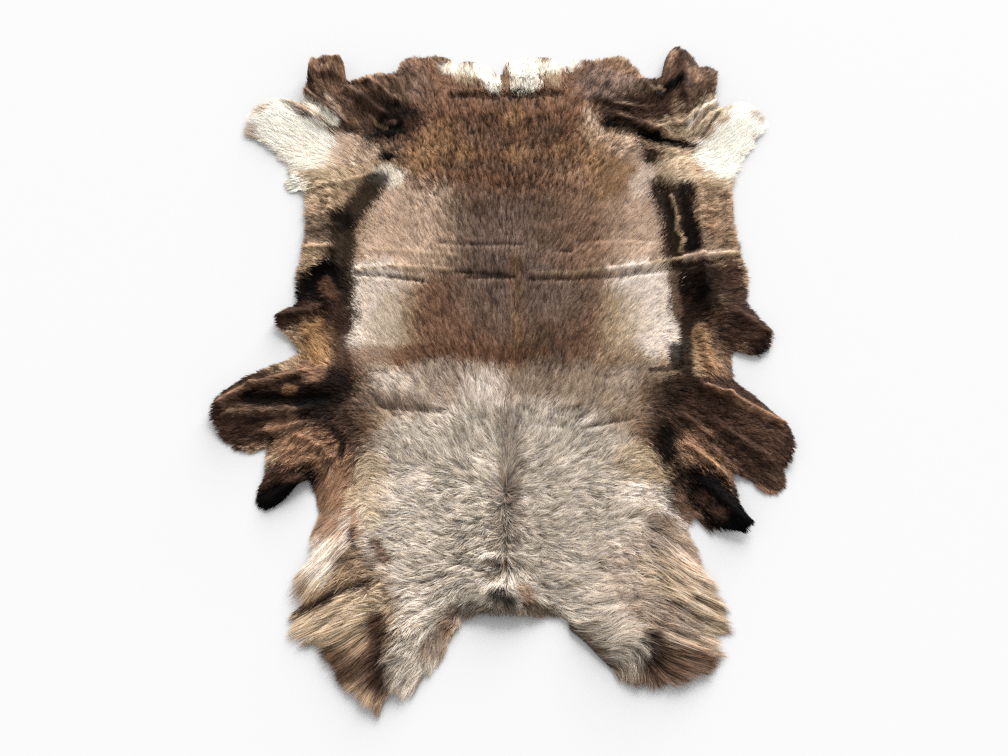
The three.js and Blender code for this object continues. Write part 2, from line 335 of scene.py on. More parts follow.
def soft_noise(x, y, size, seed):
    """Noise from -1 to 1 whose bumps are about size metres wide."""
    table = np.random.default_rng(seed).uniform(-1, 1, (TABLE_SIDE, TABLE_SIDE))
    u, v = x / size + TABLE_SIDE / 2, y / size + TABLE_SIDE / 2
    column, row = np.floor(u).astype(int), np.floor(v).astype(int)
    fu, fv = eased(u - column), eased(v - row)

    def at(down, across):
        return table[(row + down) % TABLE_SIDE, (column + across) % TABLE_SIDE]

    lower = at(0, 0) * (1 - fu) + at(0, 1) * fu
    upper = at(1, 0) * (1 - fu) + at(1, 1) * fu
    return lower * (1 - fv) + upper * fv


def nearest_tuft(x, y, size, seed):
    """Centre of the tuft a place belongs to, and the random numbers of that tuft."""
    draws = np.random.default_rng(seed)
    jitter = draws.random((TABLE_SIDE, TABLE_SIDE, 2))
    chance = draws.random((TABLE_SIDE, TABLE_SIDE, LUCKS))
    column, row = np.floor(x / size).astype(int), np.floor(y / size).astype(int)
    best = np.full(x.shape, np.inf)
    centre_x, centre_y = np.zeros(x.shape), np.zeros(x.shape)
    luck = np.zeros(x.shape + (LUCKS,))
    for down, across in product((-1, 0, 1), repeat=2):
        cell = (row + down) % TABLE_SIDE, (column + across) % TABLE_SIDE
        tuft_x = (column + across + jitter[cell][..., 0]) * size
        tuft_y = (row + down + jitter[cell][..., 1]) * size
        away = (tuft_x - x) ** 2 + (tuft_y - y) ** 2
        nearer = away < best
        best = np.where(nearer, away, best)
        centre_x = np.where(nearer, tuft_x, centre_x)
        centre_y = np.where(nearer, tuft_y, centre_y)
        luck = np.where(nearer[..., None], chance[cell], luck)
    return centre_x, centre_y, luck


print("noise at the middle of the hide:", round(float(soft_noise(0.0, 0.0, 0.05, 1)), 3))

# %% [markdown]
# ## The coat's colours
#
# A reindeer in its summer coat is umber on the saddle, golden where the light hairs show,
# pale on the flanks, white under the tail and on the hocks, nearly black along the belly
# line and the legs, and grizzled cream on the neck. Each colour gets a plain name, and
# tables give soft-edged marks, which are laid over each other in order. The places are
# millimetres from the middle of the hide, as a furrier would chalk them out.
# Some marks are painted highlight on ridges and painted shade in grooves and hollows.

# %% Named colours of the coat
def linear(red, green, blue):
    """A colour given as it shows on a screen, from 0 to 255, as linear light."""
    shown = np.array([red, green, blue]) / 255
    return np.where(shown <= 0.04045, shown / 12.92, ((shown + 0.055) / 1.055) ** 2.4)


COLOURS = {
    "black brown": linear(6, 3, 2),
    "dark brown": linear(40, 28, 21),
    "leg brown": linear(62, 44, 35),
    "brown": linear(98, 75, 60),
    "grey brown": linear(92, 75, 64),
    "umber": linear(119, 87, 68),
    "grey umber": linear(118, 96, 84),
    "red umber": linear(102, 72, 54),
    "golden": linear(131, 97, 69),
    "golden brown": linear(138, 105, 83),
    "reddish tan": linear(131, 97, 75),
    "golden tan": linear(144, 109, 79),
    "tan": linear(153, 125, 99),
    "greige": linear(154, 134, 117),
    "pink cream": linear(189, 158, 135),
    "cream tan": linear(179, 154, 126),
    "ash dark": linear(120, 106, 94),
    "ash": linear(174, 160, 144),
    "cream": linear(164, 139, 110),
    "orange cream": linear(164, 121, 83),
    "pale": linear(215, 197, 180),
    "warm white": linear(227, 214, 194),
    "white": linear(247, 240, 224),
}
print(len(COLOURS), "coat colours")

# %% Marks of the coat
Mark = namedtuple("Mark", "place x0 y0 x1 y1 reach edge colour strength")
TRUNK_MARKS = [
    Mark("whole hide", 0, 0, 0, 0, 2000, 0.1, "tan", 1),
    Mark("saddle", -88, 36, 82, 36, 98, 0.6, "umber", 1),
    Mark("middle of the back", 42, 150, 38, 340, 140, 0.7, "grey umber", 1),
    Mark("loin", -52, 430, 52, 430, 150, 0.5, "red umber", 1),
    Mark("rump", -185, 545, 200, 540, 62, 0.5, "umber", 1),
    Mark("rump, right", 180, 545, 225, 540, 40, 0.8, "grey umber", 0.9),
    Mark("rump, left", -190, 525, -170, 545, 34, 0.8, "grey umber", 0.6),
    Mark("left flank", -172, 258, -184, 165, 68, 0.5, "pink cream", 0.9),
    Mark("left flank, low", -222, 108, -232, -8, 42, 0.7, "pale", 0.8),
    Mark("left flank, lowest", -190, 60, -200, 0, 34, 0.8, "cream", 0.5),
    Mark("right flank", 235, 330, 232, 130, 58, 0.5, "pink cream", 0.9),
    Mark("right flank, low", 248, 100, 268, 6, 52, 0.6, "pale", 1),
    Mark("right flank, inner", 205, 60, 210, 10, 36, 0.8, "cream tan", 0.5),
    Mark("right flank, top", 255, 330, 255, 300, 20, 0.9, "pale", 0.4),
    Mark("left loin gold", -132, 375, -110, 385, 44, 0.7, "golden", 0.9),
    Mark("left loin gold", -125, 425, -125, 425, 34, 0.7, "golden", 0.7),
    Mark("left loin cream", -224, 338, -204, 328, 24, 0.7, "warm white", 0.85),
    Mark("left loin brown", -158, 318, -140, 318, 24, 0.7, "umber", 0.6),
    Mark("right of the back", 150, 330, 140, 170, 62, 1.2, "golden brown", 0.8),
    Mark("right loin gold", 175, 395, 195, 330, 42, 0.7, "golden tan", 0.9),
    Mark("right loin gold", 130, 376, 130, 376, 30, 0.8, "golden", 0.6),
    Mark("right loin tan", 172, 450, 178, 430, 26, 0.7, "tan", 0.8),
    Mark("loin shade", -110, 352, 110, 352, 14, 0.9, "brown", 0.6),
    Mark("loin shade", -62, 430, -22, 415, 26, 0.9, "brown", 0.6),
    Mark("loin shade", 52, 402, 90, 440, 28, 0.9, "brown", 0.5),
    Mark("loin shade", -22, 500, 60, 505, 18, 0.9, "brown", 0.5),
    Mark("loin gold", -92, 392, -62, 388, 18, 0.9, "golden", 0.6),
    Mark("loin gold", 96, 386, 130, 396, 16, 0.9, "golden", 0.5),
    Mark("back shade", 70, 200, 76, 250, 30, 0.9, "brown", 0.4),
    Mark("back shade", -52, 292, -40, 250, 26, 0.9, "brown", 0.35),
    Mark("back shade", 40, 328, 62, 302, 22, 0.9, "brown", 0.35),
    Mark("dorsal gold", 18, 463, 18, 463, 18, 0.9, "golden", 0.7),
    Mark("dorsal gold", 26, 383, 26, 383, 22, 0.9, "golden", 0.6),
    Mark("dorsal line", 22, 150, 22, -110, 12, 0.9, "golden", 0.5),
    Mark("saddle shade", 62, -18, 68, -30, 36, 0.6, "brown", 1),
    Mark("saddle hem", -175, -34, 62, -36, 17, 0.3, "red umber", 0.9),
    Mark("saddle hem, left", -258, -34, -185, -34, 16, 0.6, "reddish tan", 0.75),
    Mark("withers, left", -205, -100, -60, -100, 46, 0.5, "greige", 1),
    Mark("withers, right", 60, -92, 240, -100, 48, 0.5, "ash dark", 0.6),
    Mark("withers light", -186, -86, -186, -86, 30, 0.8, "pale", 0.5),
    Mark("withers light", -26, -96, -26, -124, 34, 1.2, "pale", 1),
    Mark("withers light", 200, -80, 200, -80, 28, 0.8, "greige", 0.6),
    Mark("left shoulder", -278, -84, -252, -218, 46, 0.6, "brown", 1),
    Mark("left shoulder, dark", -285, -90, -268, -215, 30, 0.9, "dark brown", 0.8),
    Mark("right shoulder", 262, -120, 250, -215, 40, 0.7, "brown", 0.9),
    Mark("right shoulder, dark", 275, -110, 262, -205, 28, 0.9, "dark brown", 0.8),
]
NECK_MARKS = [
    Mark("neck", -60, -185, 45, -185, 62, 0.5, "ash", 1),
    Mark("neck", -108, -250, 108, -250, 118, 0.35, "ash", 1),
    Mark("neck", -135, -365, 140, -365, 128, 0.3, "ash", 1),
    Mark("neck edge", -225, -240, -222, -330, 28, 0.8, "cream tan", 0.7),
    Mark("neck edge", 205, -225, 240, -290, 34, 0.7, "cream", 0.8),
    Mark("neck, right side", 120, -230, 130, -380, 90, 0.8, "ash dark", 0.12),
    Mark("neck dorsal line", 8, -150, 6, -300, 20, 0.9, "ash dark", 0.8),
    Mark("neck dorsal line", 4, -290, 0, -400, 22, 0.9, "grey brown", 0.5),
    Mark("neck dark streaks", 252, -338, 262, -396, 24, 0.8, "brown", 0.75),
    Mark("neck right edge", 284, -322, 300, -392, 20, 0.6, "reddish tan", 0.7),
    # Nape curl rows: painted highlight on the curls' crests.
    Mark("nape curl", -34, -392, 14, -396, 5, 0.9, "pale", 0.5),
    Mark("nape curl", -46, -424, -26, -452, 5, 0.9, "pale", 0.6),
    Mark("nape curl", 12, -404, 12, -440, 5, 0.9, "pale", 0.6),
    Mark("nape curl", -26, -436, -10, -440, 4, 0.9, "pale", 0.3),
    Mark("nape shade", -28, -404, 8, -408, 4, 0.9, "grey brown", 0.9),
    Mark("nape shade", -34, -416, -16, -430, 4, 0.9, "grey brown", 0.8),
    # Painted shade in the hollow below the nape's last curl.
    Mark("nape hollow, painted shade", -18, -456, 6, -466, 9, 0.8, "black brown", 0.9),
    Mark("nape gold", 30, -448, 36, -466, 11, 0.8, "golden brown", 0.8),
    # Wrinkle rows: painted shade in the neck's wrinkle grooves.
    Mark("wrinkle", 22, -132, 56, -146, 3, 0.9, "leg brown", 0.6),
    Mark("wrinkle", 92, -150, 118, -154, 3, 0.9, "dark brown", 0.7),
    Mark("wrinkle", 118, -154, 140, -142, 3, 0.9, "dark brown", 0.6),
    Mark("wrinkle", 100, -138, 128, -130, 3, 0.9, "leg brown", 0.6),
    Mark("wrinkle", 126, -172, 214, -152, 3, 0.9, "dark brown", 0.7),
    Mark("left wrinkle shade", -262, -118, -150, -134, 20, 0.9, "grey brown", 0.6),
    # Painted shade in the left neck wrinkle's groove.
    Mark("left wrinkle", -209, -132, -104, -138, 4, 0.9, "leg brown", 0.5),
    Mark("right crest", 200, -286, 258, -298, 22, 0.9, "pale", 0.9),
    Mark("right crest", 262, -300, 288, -345, 10, 0.9, "pale", 0.6),
    # Painted shade along the neck notch's edge.
    Mark("notch edge, painted shade", -95, -478, 82, -484, 12, 0.8, "dark brown", 0.8),
    Mark("left lobe", -285, -430, -215, -560, 74, 0.35, "tan", 1),
    Mark("left lobe, point base", -180, -560, -184, -610, 66, 0.4, "tan", 1),
    Mark("left lobe, white locks", -266, -342, -300, -410, 26, 0.6, "pale", 0.7),
    Mark("left lobe, gold gap", -244, -318, -238, -362, 7, 0.8, "golden brown", 1),
    Mark("left lobe, dark gap", -246, -350, -238, -382, 5, 0.8, "dark brown", 1),
    Mark("left lobe, curls", -202, -374, -188, -402, 10, 0.8, "brown", 0.9),
    Mark("left lobe, shade", -262, -400, -215, -405, 16, 0.9, "grey brown", 0.6),
    # Painted shadow under the upper locks where they overlap the lower ones.
    Mark("left lobe, painted shadow under the upper locks", -214, -438, -336, -482, 8, 0.9, "dark brown", 1),
    Mark("left lobe, second locks", -222, -482, -320, -516, 34, 0.6, "cream tan", 0.8),
    Mark("left lobe, brown", -222, -574, -288, -562, 30, 0.8, "leg brown", 0.85),
    Mark("left lobe, point", -182, -632, -172, -616, 22, 0.7, "tan", 0.9),
    Mark("left lobe, inner", -128, -462, -142, -570, 40, 0.5, "ash", 1),
    Mark("left lobe, dark band", -202, -500, -192, -600, 18, 1.2, "leg brown", 1),
    Mark("left lobe, dark band", -198, -520, -190, -596, 8, 1.2, "dark brown", 0.8),
    Mark("left lobe, inner edge", -84, -492, -118, -542, 13, 0.8, "brown", 0.7),
    Mark("right lobe", 250, -440, 240, -530, 100, 0.5, "greige", 0.8),
    Mark("right lobe, locks", 250, -425, 342, -490, 36, 0.7, "cream tan", 0.45),
    Mark("right lobe, brown", 240, -572, 308, -574, 30, 0.5, "brown", 1),
    Mark("right lobe, dark", 228, -532, 230, -548, 24, 0.6, "dark brown", 0.9),
    Mark("right lobe, inner", 112, -468, 182, -536, 34, 0.6, "ash", 0.9),
    Mark("right lobe, inner edge", 86, -496, 170, -566, 11, 0.8, "dark brown", 0.7),
    Mark("right lobe, point", 204, -598, 204, -598, 18, 0.7, "brown", 0.8),
]
LEFT_MARKS = [
    Mark("outer flank", -340, 280, -340, 262, 42, 0.5, "tan", 0.9),
    Mark("outer flank, brown", -338, 220, -338, 206, 30, 0.7, "grey brown", 0.7),
    Mark("outer flank, tan", -332, 168, -330, 162, 24, 0.7, "tan", 0.7),
    Mark("belly line, upper", -235, 322, -285, 240, 26, 0.5, "black brown", 0.9),
    Mark("belly line", -290, 235, -286, 110, 25, 0.5, "black brown", 0.9),
    Mark("belly line, lower", -304, 112, -290, 44, 38, 0.5, "dark brown", 1),
    Mark("belly line, lowest", -288, 50, -285, -62, 20, 0.8, "leg brown", 0.9),
    Mark("belly patch", -352, 78, -320, 106, 44, 0.35, "black brown", 1),
    Mark("belly red streak", -312, 96, -306, 80, 14, 0.9, "red umber", 0.5),
    Mark("haunch", -285, 528, -215, 515, 38, 0.5, "brown", 1),
    Mark("haunch", -278, 470, -190, 462, 40, 0.5, "leg brown", 1),
    Mark("haunch, curls", -208, 482, -180, 474, 18, 0.6, "dark brown", 1),
    Mark("haunch, curls", -262, 505, -225, 490, 12, 0.8, "dark brown", 0.7),
    Mark("haunch, red", -268, 452, -262, 412, 16, 0.6, "brown", 0.9),
    Mark("haunch, black", -320, 441, -292, 432, 13, 0.6, "black brown", 1),
    Mark("haunch, black", -250, 420, -205, 440, 20, 0.9, "black brown", 1),
    Mark("haunch, black", -230, 455, -204, 464, 12, 0.9, "black brown", 0.8),
    Mark("haunch, low", -232, 402, -206, 392, 22, 0.6, "brown", 0.8),
    Mark("haunch, low", -230, 379, -216, 379, 11, 0.6, "black brown", 1),
    Mark("haunch, arc", -251, 466, -241, 448, 3, 0.9, "tan", 0.35),
    Mark("haunch, arc", -241, 448, -222, 442, 3, 0.9, "tan", 0.35),
    Mark("haunch, spot", -224, 452, -208, 457, 6, 0.9, "brown", 0.6),
    Mark("haunch, spot", -292, 458, -284, 455, 7, 0.9, "golden tan", 0.8),
    Mark("haunch, spot", -246, 402, -240, 396, 7, 0.9, "cream tan", 0.7),
    Mark("haunch, rim", -295, 546, -250, 548, 6, 0.8, "golden brown", 0.7),
    Mark("haunch, dark line", -330, 540, -262, 534, 4, 0.8, "dark brown", 0.9),
    Mark("brown flap", -352, 520, -318, 480, 38, 0.5, "brown", 1),
    Mark("brown flap, dark edge", -388, 540, -362, 548, 10, 0.8, "dark brown", 0.9),
    Mark("brown flap, streak", -372, 530, -330, 478, 4, 0.9, "dark brown", 0.7),
    Mark("brown flap, streak", -345, 520, -308, 466, 4, 0.9, "greige", 0.7),
    Mark("brown flap, streak", -330, 505, -300, 462, 3, 0.9, "tan", 0.7),
    Mark("knob", -342, 585, -336, 566, 40, 0.3, "golden brown", 1),
    Mark("knob, left lip", -374, 588, -366, 566, 10, 0.7, "golden brown", 0.9),
    Mark("knob, right lip", -322, 592, -306, 558, 8, 0.7, "golden brown", 0.9),
    Mark("knob, top", -352, 594, -344, 604, 6, 0.8, "brown", 0.9),
    Mark("knob, gap", -358, 588, -348, 580, 4, 0.9, "dark brown", 0.9),
    Mark("knob, hollow", -345, 552, -318, 545, 9, 0.8, "leg brown", 0.9),
    Mark("knob, base line", -382, 566, -352, 550, 6, 0.8, "dark brown", 0.8),
    Mark("thigh", -372, 326, -312, 368, 48, 0.4, "cream", 0.95),
    Mark("thigh, pink", -300, 402, -285, 390, 36, 0.7, "pink cream", 0.8),
    Mark("thigh, tan strip", -404, 488, -340, 452, 16, 0.5, "tan", 1),
    Mark("thigh, dark strip", -386, 468, -358, 452, 5, 0.8, "leg brown", 0.9),
    Mark("thigh, dark strip", -345, 452, -322, 438, 5, 0.8, "dark brown", 0.9),
    Mark("hock", -440, 446, -366, 398, 46, 0.35, "white", 1),
    Mark("hock, warm", -380, 396, -340, 376, 26, 0.9, "warm white", 0.8),
    Mark("hock tip", -476, 440, -472, 430, 14, 0.7, "greige", 0.8),
    Mark("hock upper tip", -470, 488, -455, 484, 12, 0.7, "cream tan", 0.8),
    Mark("stifle", -395, 310, -398, 322, 26, 0.7, "white", 0.7),
    Mark("haunch ridge", -392, 508, -320, 452, 9, 0.7, "warm white", 0.9),
    Mark("thigh crease", -361, 299, -260, 334, 4, 0.9, "cream", 0.5),
    Mark("elbow spike", -388, 38, -350, 46, 28, 0.4, "leg brown", 1),
    Mark("elbow", -336, 4, -330, -12, 34, 0.5, "golden tan", 0.95),
    Mark("elbow light", -332, 16, -322, -34, 19, 0.8, "orange cream", 0.9),
    Mark("foreleg", -330, -120, -468, -150, 76, 0.3, "leg brown", 1),
    Mark("foreleg shade", -350, -92, -440, -106, 30, 0.8, "dark brown", 0.8),
    Mark("foreleg root", -288, -95, -310, -120, 40, 0.6, "black brown", 0.85),
    Mark("foreleg red", -338, -60, -325, -74, 16, 0.7, "reddish tan", 0.8),
    # Painted shade in the foreleg's groove.
    Mark("foreleg trough, painted shade", -430, -119, -301, -119, 12, 0.6, "black brown", 0.95),
    # Ridge rows: partly the ridge's golden hair, partly painted highlight on the foreleg ridge.
    Mark("foreleg ridge", -361, -75, -427, -97, 8, 0.8, "golden brown", 0.4),
    Mark("foreleg ridge", -427, -97, -476, -126, 8, 0.8, "golden brown", 0.5),
    Mark("foreleg curl", -363, -104, -358, -104, 9, 0.8, "golden", 0.6),
    # Painted sheen along the foreleg.
    Mark("foreleg, painted sheen", -462, -144, -356, -142, 9, 0.9, "brown", 0.8),
    Mark("foreleg tan", -392, -170, -352, -162, 12, 0.8, "reddish tan", 0.7),
    # Painted shade in the crevice between the foreleg's folds.
    Mark("foreleg gap, painted shade", -384, -193, -345, -190, 9, 0.7, "black brown", 0.9),
    Mark("armpit lobe, base", -322, -262, -394, -296, 50, 0.4, "leg brown", 1),
    Mark("armpit swirl", -340, -204, -300, -226, 40, 0.4, "reddish tan", 1),
    Mark("armpit arc", -292, -166, -270, -190, 7, 0.8, "dark brown", 1),
    Mark("armpit arc", -270, -190, -272, -216, 6, 0.8, "dark brown", 1),
    Mark("armpit lobe", -318, -268, -396, -306, 30, 0.35, "black brown", 1),
    # Painted highlight along the armpit lobe's upper middle.
    Mark("armpit lobe, painted highlight", -362, -262, -330, -262, 7, 0.9, "leg brown", 1),
    Mark("neck strip", -284, -258, -284, -345, 24, 0.6, "reddish tan", 0.9),
]
RIGHT_MARKS = [
    Mark("outer flank", 388, 312, 390, 165, 38, 0.4, "tan", 1),
    Mark("outer flank, shade", 386, 300, 388, 180, 32, 0.9, "brown", 0.35),
    Mark("outer flank, red", 378, 210, 372, 250, 12, 0.9, "reddish tan", 0.5),
    Mark("belly line", 305, 310, 326, 150, 34, 0.4, "dark brown", 0.95),
    Mark("belly line, inner", 287, 300, 318, 170, 17, 0.6, "black brown", 0.5),
    Mark("belly line, outer", 330, 312, 336, 178, 13, 0.6, "black brown", 0.9),
    Mark("belly ridge", 302, 285, 311, 238, 3, 0.9, "tan", 0.8),
    Mark("belly ridge", 311, 238, 309, 214, 4, 0.9, "tan", 0.8),
    Mark("belly ridge", 309, 214, 321, 192, 3, 0.9, "tan", 0.8),
    Mark("belly ridge", 321, 192, 314, 168, 4, 0.9, "tan", 0.7),
    Mark("belly patch", 345, 108, 335, 60, 46, 0.35, "dark brown", 1),
    Mark("belly patch, dark", 332, 100, 345, 80, 22, 0.7, "black brown", 0.8),
    Mark("belly patch, red", 404, 126, 408, 66, 24, 0.4, "leg brown", 1),
    Mark("belly edge", 313, 12, 302, 50, 9, 0.8, "brown", 0.8),
    Mark("belly edge", 302, 50, 296, 124, 8, 0.8, "brown", 0.8),
    Mark("haunch", 212, 482, 292, 476, 34, 0.5, "leg brown", 1),
    Mark("haunch, streaks", 285, 540, 310, 500, 20, 0.6, "leg brown", 1),
    Mark("haunch, black", 200, 452, 250, 436, 15, 0.9, "black brown", 0.9),
    Mark("haunch, black", 255, 424, 342, 402, 12, 0.9, "black brown", 1),
    Mark("haunch, low", 246, 384, 280, 366, 18, 0.5, "dark brown", 1),
    Mark("haunch, low spot", 288, 376, 292, 368, 7, 0.8, "reddish tan", 0.9),
    Mark("haunch, ridge", 250, 448, 298, 420, 4, 0.8, "brown", 0.9),
    Mark("haunch, ridge", 298, 420, 322, 418, 5, 0.8, "tan", 0.9),
    Mark("haunch, crescent", 302, 458, 308, 430, 4, 0.9, "cream tan", 0.6),
    Mark("haunch, knot", 322, 470, 342, 462, 14, 0.6, "brown", 1),
    Mark("haunch, streak", 240, 480, 280, 462, 3, 0.9, "brown", 0.8),
    Mark("haunch, streak", 214, 470, 250, 460, 3, 0.9, "brown", 0.8),
    Mark("thigh", 315, 345, 392, 348, 38, 0.5, "cream tan", 0.95),
    Mark("thigh, orange", 360, 352, 386, 345, 15, 0.9, "orange cream", 0.9),
    Mark("thigh, pink", 230, 386, 220, 400, 24, 0.7, "pink cream", 0.7),
    Mark("knob", 345, 530, 352, 600, 60, 0.3, "brown", 1),
    Mark("knob, shade", 352, 520, 356, 600, 60, 0.3, "leg brown", 0.45),
    Mark("knob trough", 292, 508, 332, 532, 12, 0.8, "black brown", 1),
    Mark("knob trough lip", 290, 528, 300, 512, 3, 0.9, "tan", 0.6),
    Mark("knob spot", 346, 596, 352, 588, 7, 0.8, "dark brown", 0.9),
    Mark("knob light", 362, 560, 372, 540, 14, 0.8, "golden brown", 0.6),
    Mark("knob left edge", 316, 575, 328, 618, 7, 0.8, "golden brown", 0.7),
    Mark("knob streak", 326, 452, 326, 478, 12, 0.8, "tan", 0.8),
    Mark("hock strip", 352, 430, 400, 490, 22, 0.5, "cream tan", 1),
    Mark("hock strip light", 350, 440, 392, 490, 9, 0.8, "pale", 0.6),
    # Painted shade in the hock strip's groove.
    Mark("hock strip crease, painted shade", 402, 467, 366, 416, 3, 0.8, "leg brown", 0.9),
    Mark("hock strip streak", 386, 482, 350, 430, 4, 0.9, "tan", 0.9),
    Mark("hock", 392, 372, 462, 448, 44, 0.35, "white", 1),
    Mark("hock tip", 484, 462, 478, 468, 12, 0.7, "tan", 0.8),
    Mark("hock shade", 472, 420, 478, 412, 13, 0.9, "greige", 0.5),
    Mark("rump fold", 176, 506, 250, 500, 11, 0.8, "dark brown", 0.8),
    Mark("rump fold lip", 206, 498, 242, 492, 3, 0.9, "tan", 0.5),
    Mark("rump rim", 200, 588, 272, 566, 9, 0.8, "golden", 0.5),
    Mark("elbow brown", 360, 0, 376, -80, 30, 0.5, "brown", 0.9),
    Mark("elbow tan", 338, 0, 360, -90, 20, 0.7, "golden tan", 1),
    Mark("elbow", 412, 26, 436, -8, 44, 0.4, "leg brown", 1),
    Mark("elbow dark", 442, -23, 436, -26, 13, 0.8, "black brown", 0.8),
    Mark("brisket", 290, -96, 332, -104, 26, 0.5, "dark brown", 0.95),
    Mark("belly edge, low", 315, 30, 305, -100, 12, 0.7, "dark brown", 0.95),
    Mark("brisket spot", 292, -24, 291, -54, 11, 0.7, "black brown", 0.9),
    Mark("brisket crease", 287, -60, 250, -62, 5, 0.9, "dark brown", 0.8),
    Mark("foreleg", 362, -152, 440, -218, 78, 0.25, "leg brown", 1),
    Mark("foreleg light", 380, -196, 436, -236, 42, 0.9, "brown", 0.2),
    Mark("foreleg hem", 378, -264, 440, -284, 6, 0.9, "reddish tan", 0.7),
    # Ridge rows: partly the ridge's reddish tan hair, partly painted highlight on the foreleg
    # ridge.
    Mark("foreleg ridge", 339, -101, 375, -116, 6, 0.9, "reddish tan", 0.9),
    Mark("foreleg ridge", 375, -116, 411, -141, 6, 0.9, "reddish tan", 0.9),
    Mark("foreleg ridge", 411, -141, 471, -169, 6, 0.9, "reddish tan", 0.9),
    Mark("hook, base", 312, -284, 404, -356, 54, 0.35, "dark brown", 1),
    Mark("armpit", 272, -182, 268, -216, 20, 1, "black brown", 0.95),
    Mark("armpit curls", 312, -182, 340, -180, 10, 0.8, "reddish tan", 0.8),
    Mark("armpit fan", 312, -208, 358, -256, 22, 0.6, "reddish tan", 0.9),
    Mark("armpit fan light", 328, -222, 352, -246, 8, 0.9, "golden tan", 0.6),
    Mark("hook root", 298, -292, 300, -310, 26, 0.6, "brown", 0.9),
    Mark("hook", 330, -282, 404, -358, 40, 0.35, "black brown", 1),
    Mark("hook, brown", 316, -292, 350, -322, 10, 0.9, "leg brown", 0.9),
]
MIDDLE_MARKS = [
    # Lip rows: painted highlight on the crease's lips. Shade rows: painted shade in its
    # grooves.
    Mark("storage crease, painted highlight on the lip", -262, 134, -200, 138, 3, 0.9, "cream", 0.7),
    Mark("storage crease, painted highlight on the lip", -200, 138, -90, 129, 3, 0.9, "cream", 0.7),
    Mark("storage crease, shade", -262, 124, -205, 120, 4, 0.9, "grey brown", 0.35),
    Mark("storage crease, shade", -205, 120, -145, 110, 4, 0.9, "dark brown", 0.7),
    Mark("storage crease, shade", -88, 126, 4, 120, 3, 0.9, "black brown", 0.7),
    Mark("storage crease, shade", -70, 116, 16, 114, 3, 0.9, "black brown", 0.7),
    Mark("storage crease, painted highlight on the lip", 60, 121, 120, 122, 3, 0.9, "cream", 0.6),
    Mark("storage crease, painted highlight on the lip", 120, 122, 180, 131, 4, 0.9, "cream", 0.8),
    Mark("storage crease, painted highlight on the lip", 180, 131, 262, 147, 4, 0.9, "pale", 0.7),
    Mark("storage crease, painted highlight on the lip", 262, 147, 353, 153, 4, 0.9, "cream", 0.8),
    Mark("storage crease, painted highlight on the lip", 353, 153, 419, 166, 5, 0.9, "cream", 0.9),
    Mark("storage crease, shade", 50, 112, 190, 116, 4, 0.9, "dark brown", 0.5),
    Mark("storage crease, shade", 190, 116, 262, 134, 5, 0.9, "grey brown", 0.35),
    Mark("storage crease, painted highlight on the lip", 322, 151, 390, 163, 8, 0.9, "pink cream", 0.85),
    # Painted highlight along the second crease's lip.
    Mark("second crease, lip", -240, 176, -90, 158, 3, 0.9, "cream", 0.4),
    # Painted shade in the faint crease's grooves.
    Mark("faint crease", -60, 182, 30, 181, 3, 0.9, "dark brown", 0.6),
    Mark("faint crease", 96, 168, 118, 166, 2, 0.9, "black brown", 0.6),
    Mark("loin streak", 155, 480, 185, 420, 9, 0.9, "pink cream", 0.6),
    Mark("tail, rim", -112, 586, -56, 572, 13, 0.9, "warm white", 0.9),
    Mark("tail, rim", 62, 574, 130, 594, 16, 0.9, "warm white", 0.9),
    Mark("tail, left", -44, 580, -26, 550, 18, 0.4, "warm white", 1),
    Mark("tail, left", -30, 555, -18, 532, 13, 0.6, "warm white", 1),
    Mark("tail, left light", -40, 575, -26, 550, 12, 0.9, "white", 0.6),
    Mark("tail, right", 38, 582, 40, 556, 32, 0.35, "warm white", 1),
    Mark("tail, right light", 26, 585, 38, 562, 18, 0.9, "white", 0.6),
    Mark("tail, right side", 88, 566, 100, 552, 12, 0.8, "cream", 0.7),
    Mark("tail, left side", -84, 560, -66, 552, 12, 0.9, "cream tan", 0.7),
    Mark("tail, parting", 4, 572, 2, 530, 7, 0.7, "golden brown", 1),
    # Painted shadow under the tail's tufts.
    Mark("tail, painted shadow under the tufts", -98, 516, -16, 511, 8, 0.9, "dark brown", 0.75),
    Mark("tail, painted shadow under the tufts", 4, 513, 106, 522, 8, 0.9, "dark brown", 0.75),
]
MARKS = TRUNK_MARKS + NECK_MARKS + LEFT_MARKS + RIGHT_MARKS + MIDDLE_MARKS
STRAY_REACHES = {60 * MM: 11 * MM, 18 * MM: 6 * MM}  # by the size of the bumps
STRAY_SEED = 40
SECOND_WAY = 10
WIDE_MARK = 40 * MM


def stray(x, y):
    """How far a place is pushed about, so that a mark's edge wanders as hair does."""
    push_x, push_y = np.zeros(x.shape), np.zeros(x.shape)
    for order, (size, reach) in enumerate(STRAY_REACHES.items()):
        push_x += reach * soft_noise(x, y, size, STRAY_SEED + order)
        push_y += reach * soft_noise(y, x, size, STRAY_SEED + SECOND_WAY + order)
    return push_x, push_y


def share_of(x, y, row):
    """1 within a row's reach, 0 beyond its soft edge, and a straight slope between."""
    away = on_crest(x, y, row) / (row.reach * MM)
    return np.clip((1 + row.edge / 2 - away) / row.edge, 0, 1)


def coat_colour(x, y, jitter_x=0, jitter_y=0):
    """Colour of the coat at each place, as rows of linear red, green and blue."""
    push_x, push_y = stray(x, y)
    push_x, push_y = push_x + jitter_x, push_y + jitter_y
    colour = np.zeros((len(x), 3))
    for mark in MARKS:
        loose = min(1, mark.reach * MM / WIDE_MARK)
        share = mark.strength * eased(share_of(x + loose * push_x, y + loose * push_y, mark))
        colour += share[:, None] * (COLOURS[mark.colour] - colour)
    return colour


print(len(MARKS), "marks on the coat")

# %% [markdown]
# ## The lie of the coat
#
# Hair lies in a direction, as if combed. On the trunk it runs from the spine outwards and
# back towards the rump, the same on both sides. On the legs and locks each part has a
# direction of its own. Tables give the direction at named places, in degrees anticlockwise
# from the right, and the directions between them are blended by nearness.

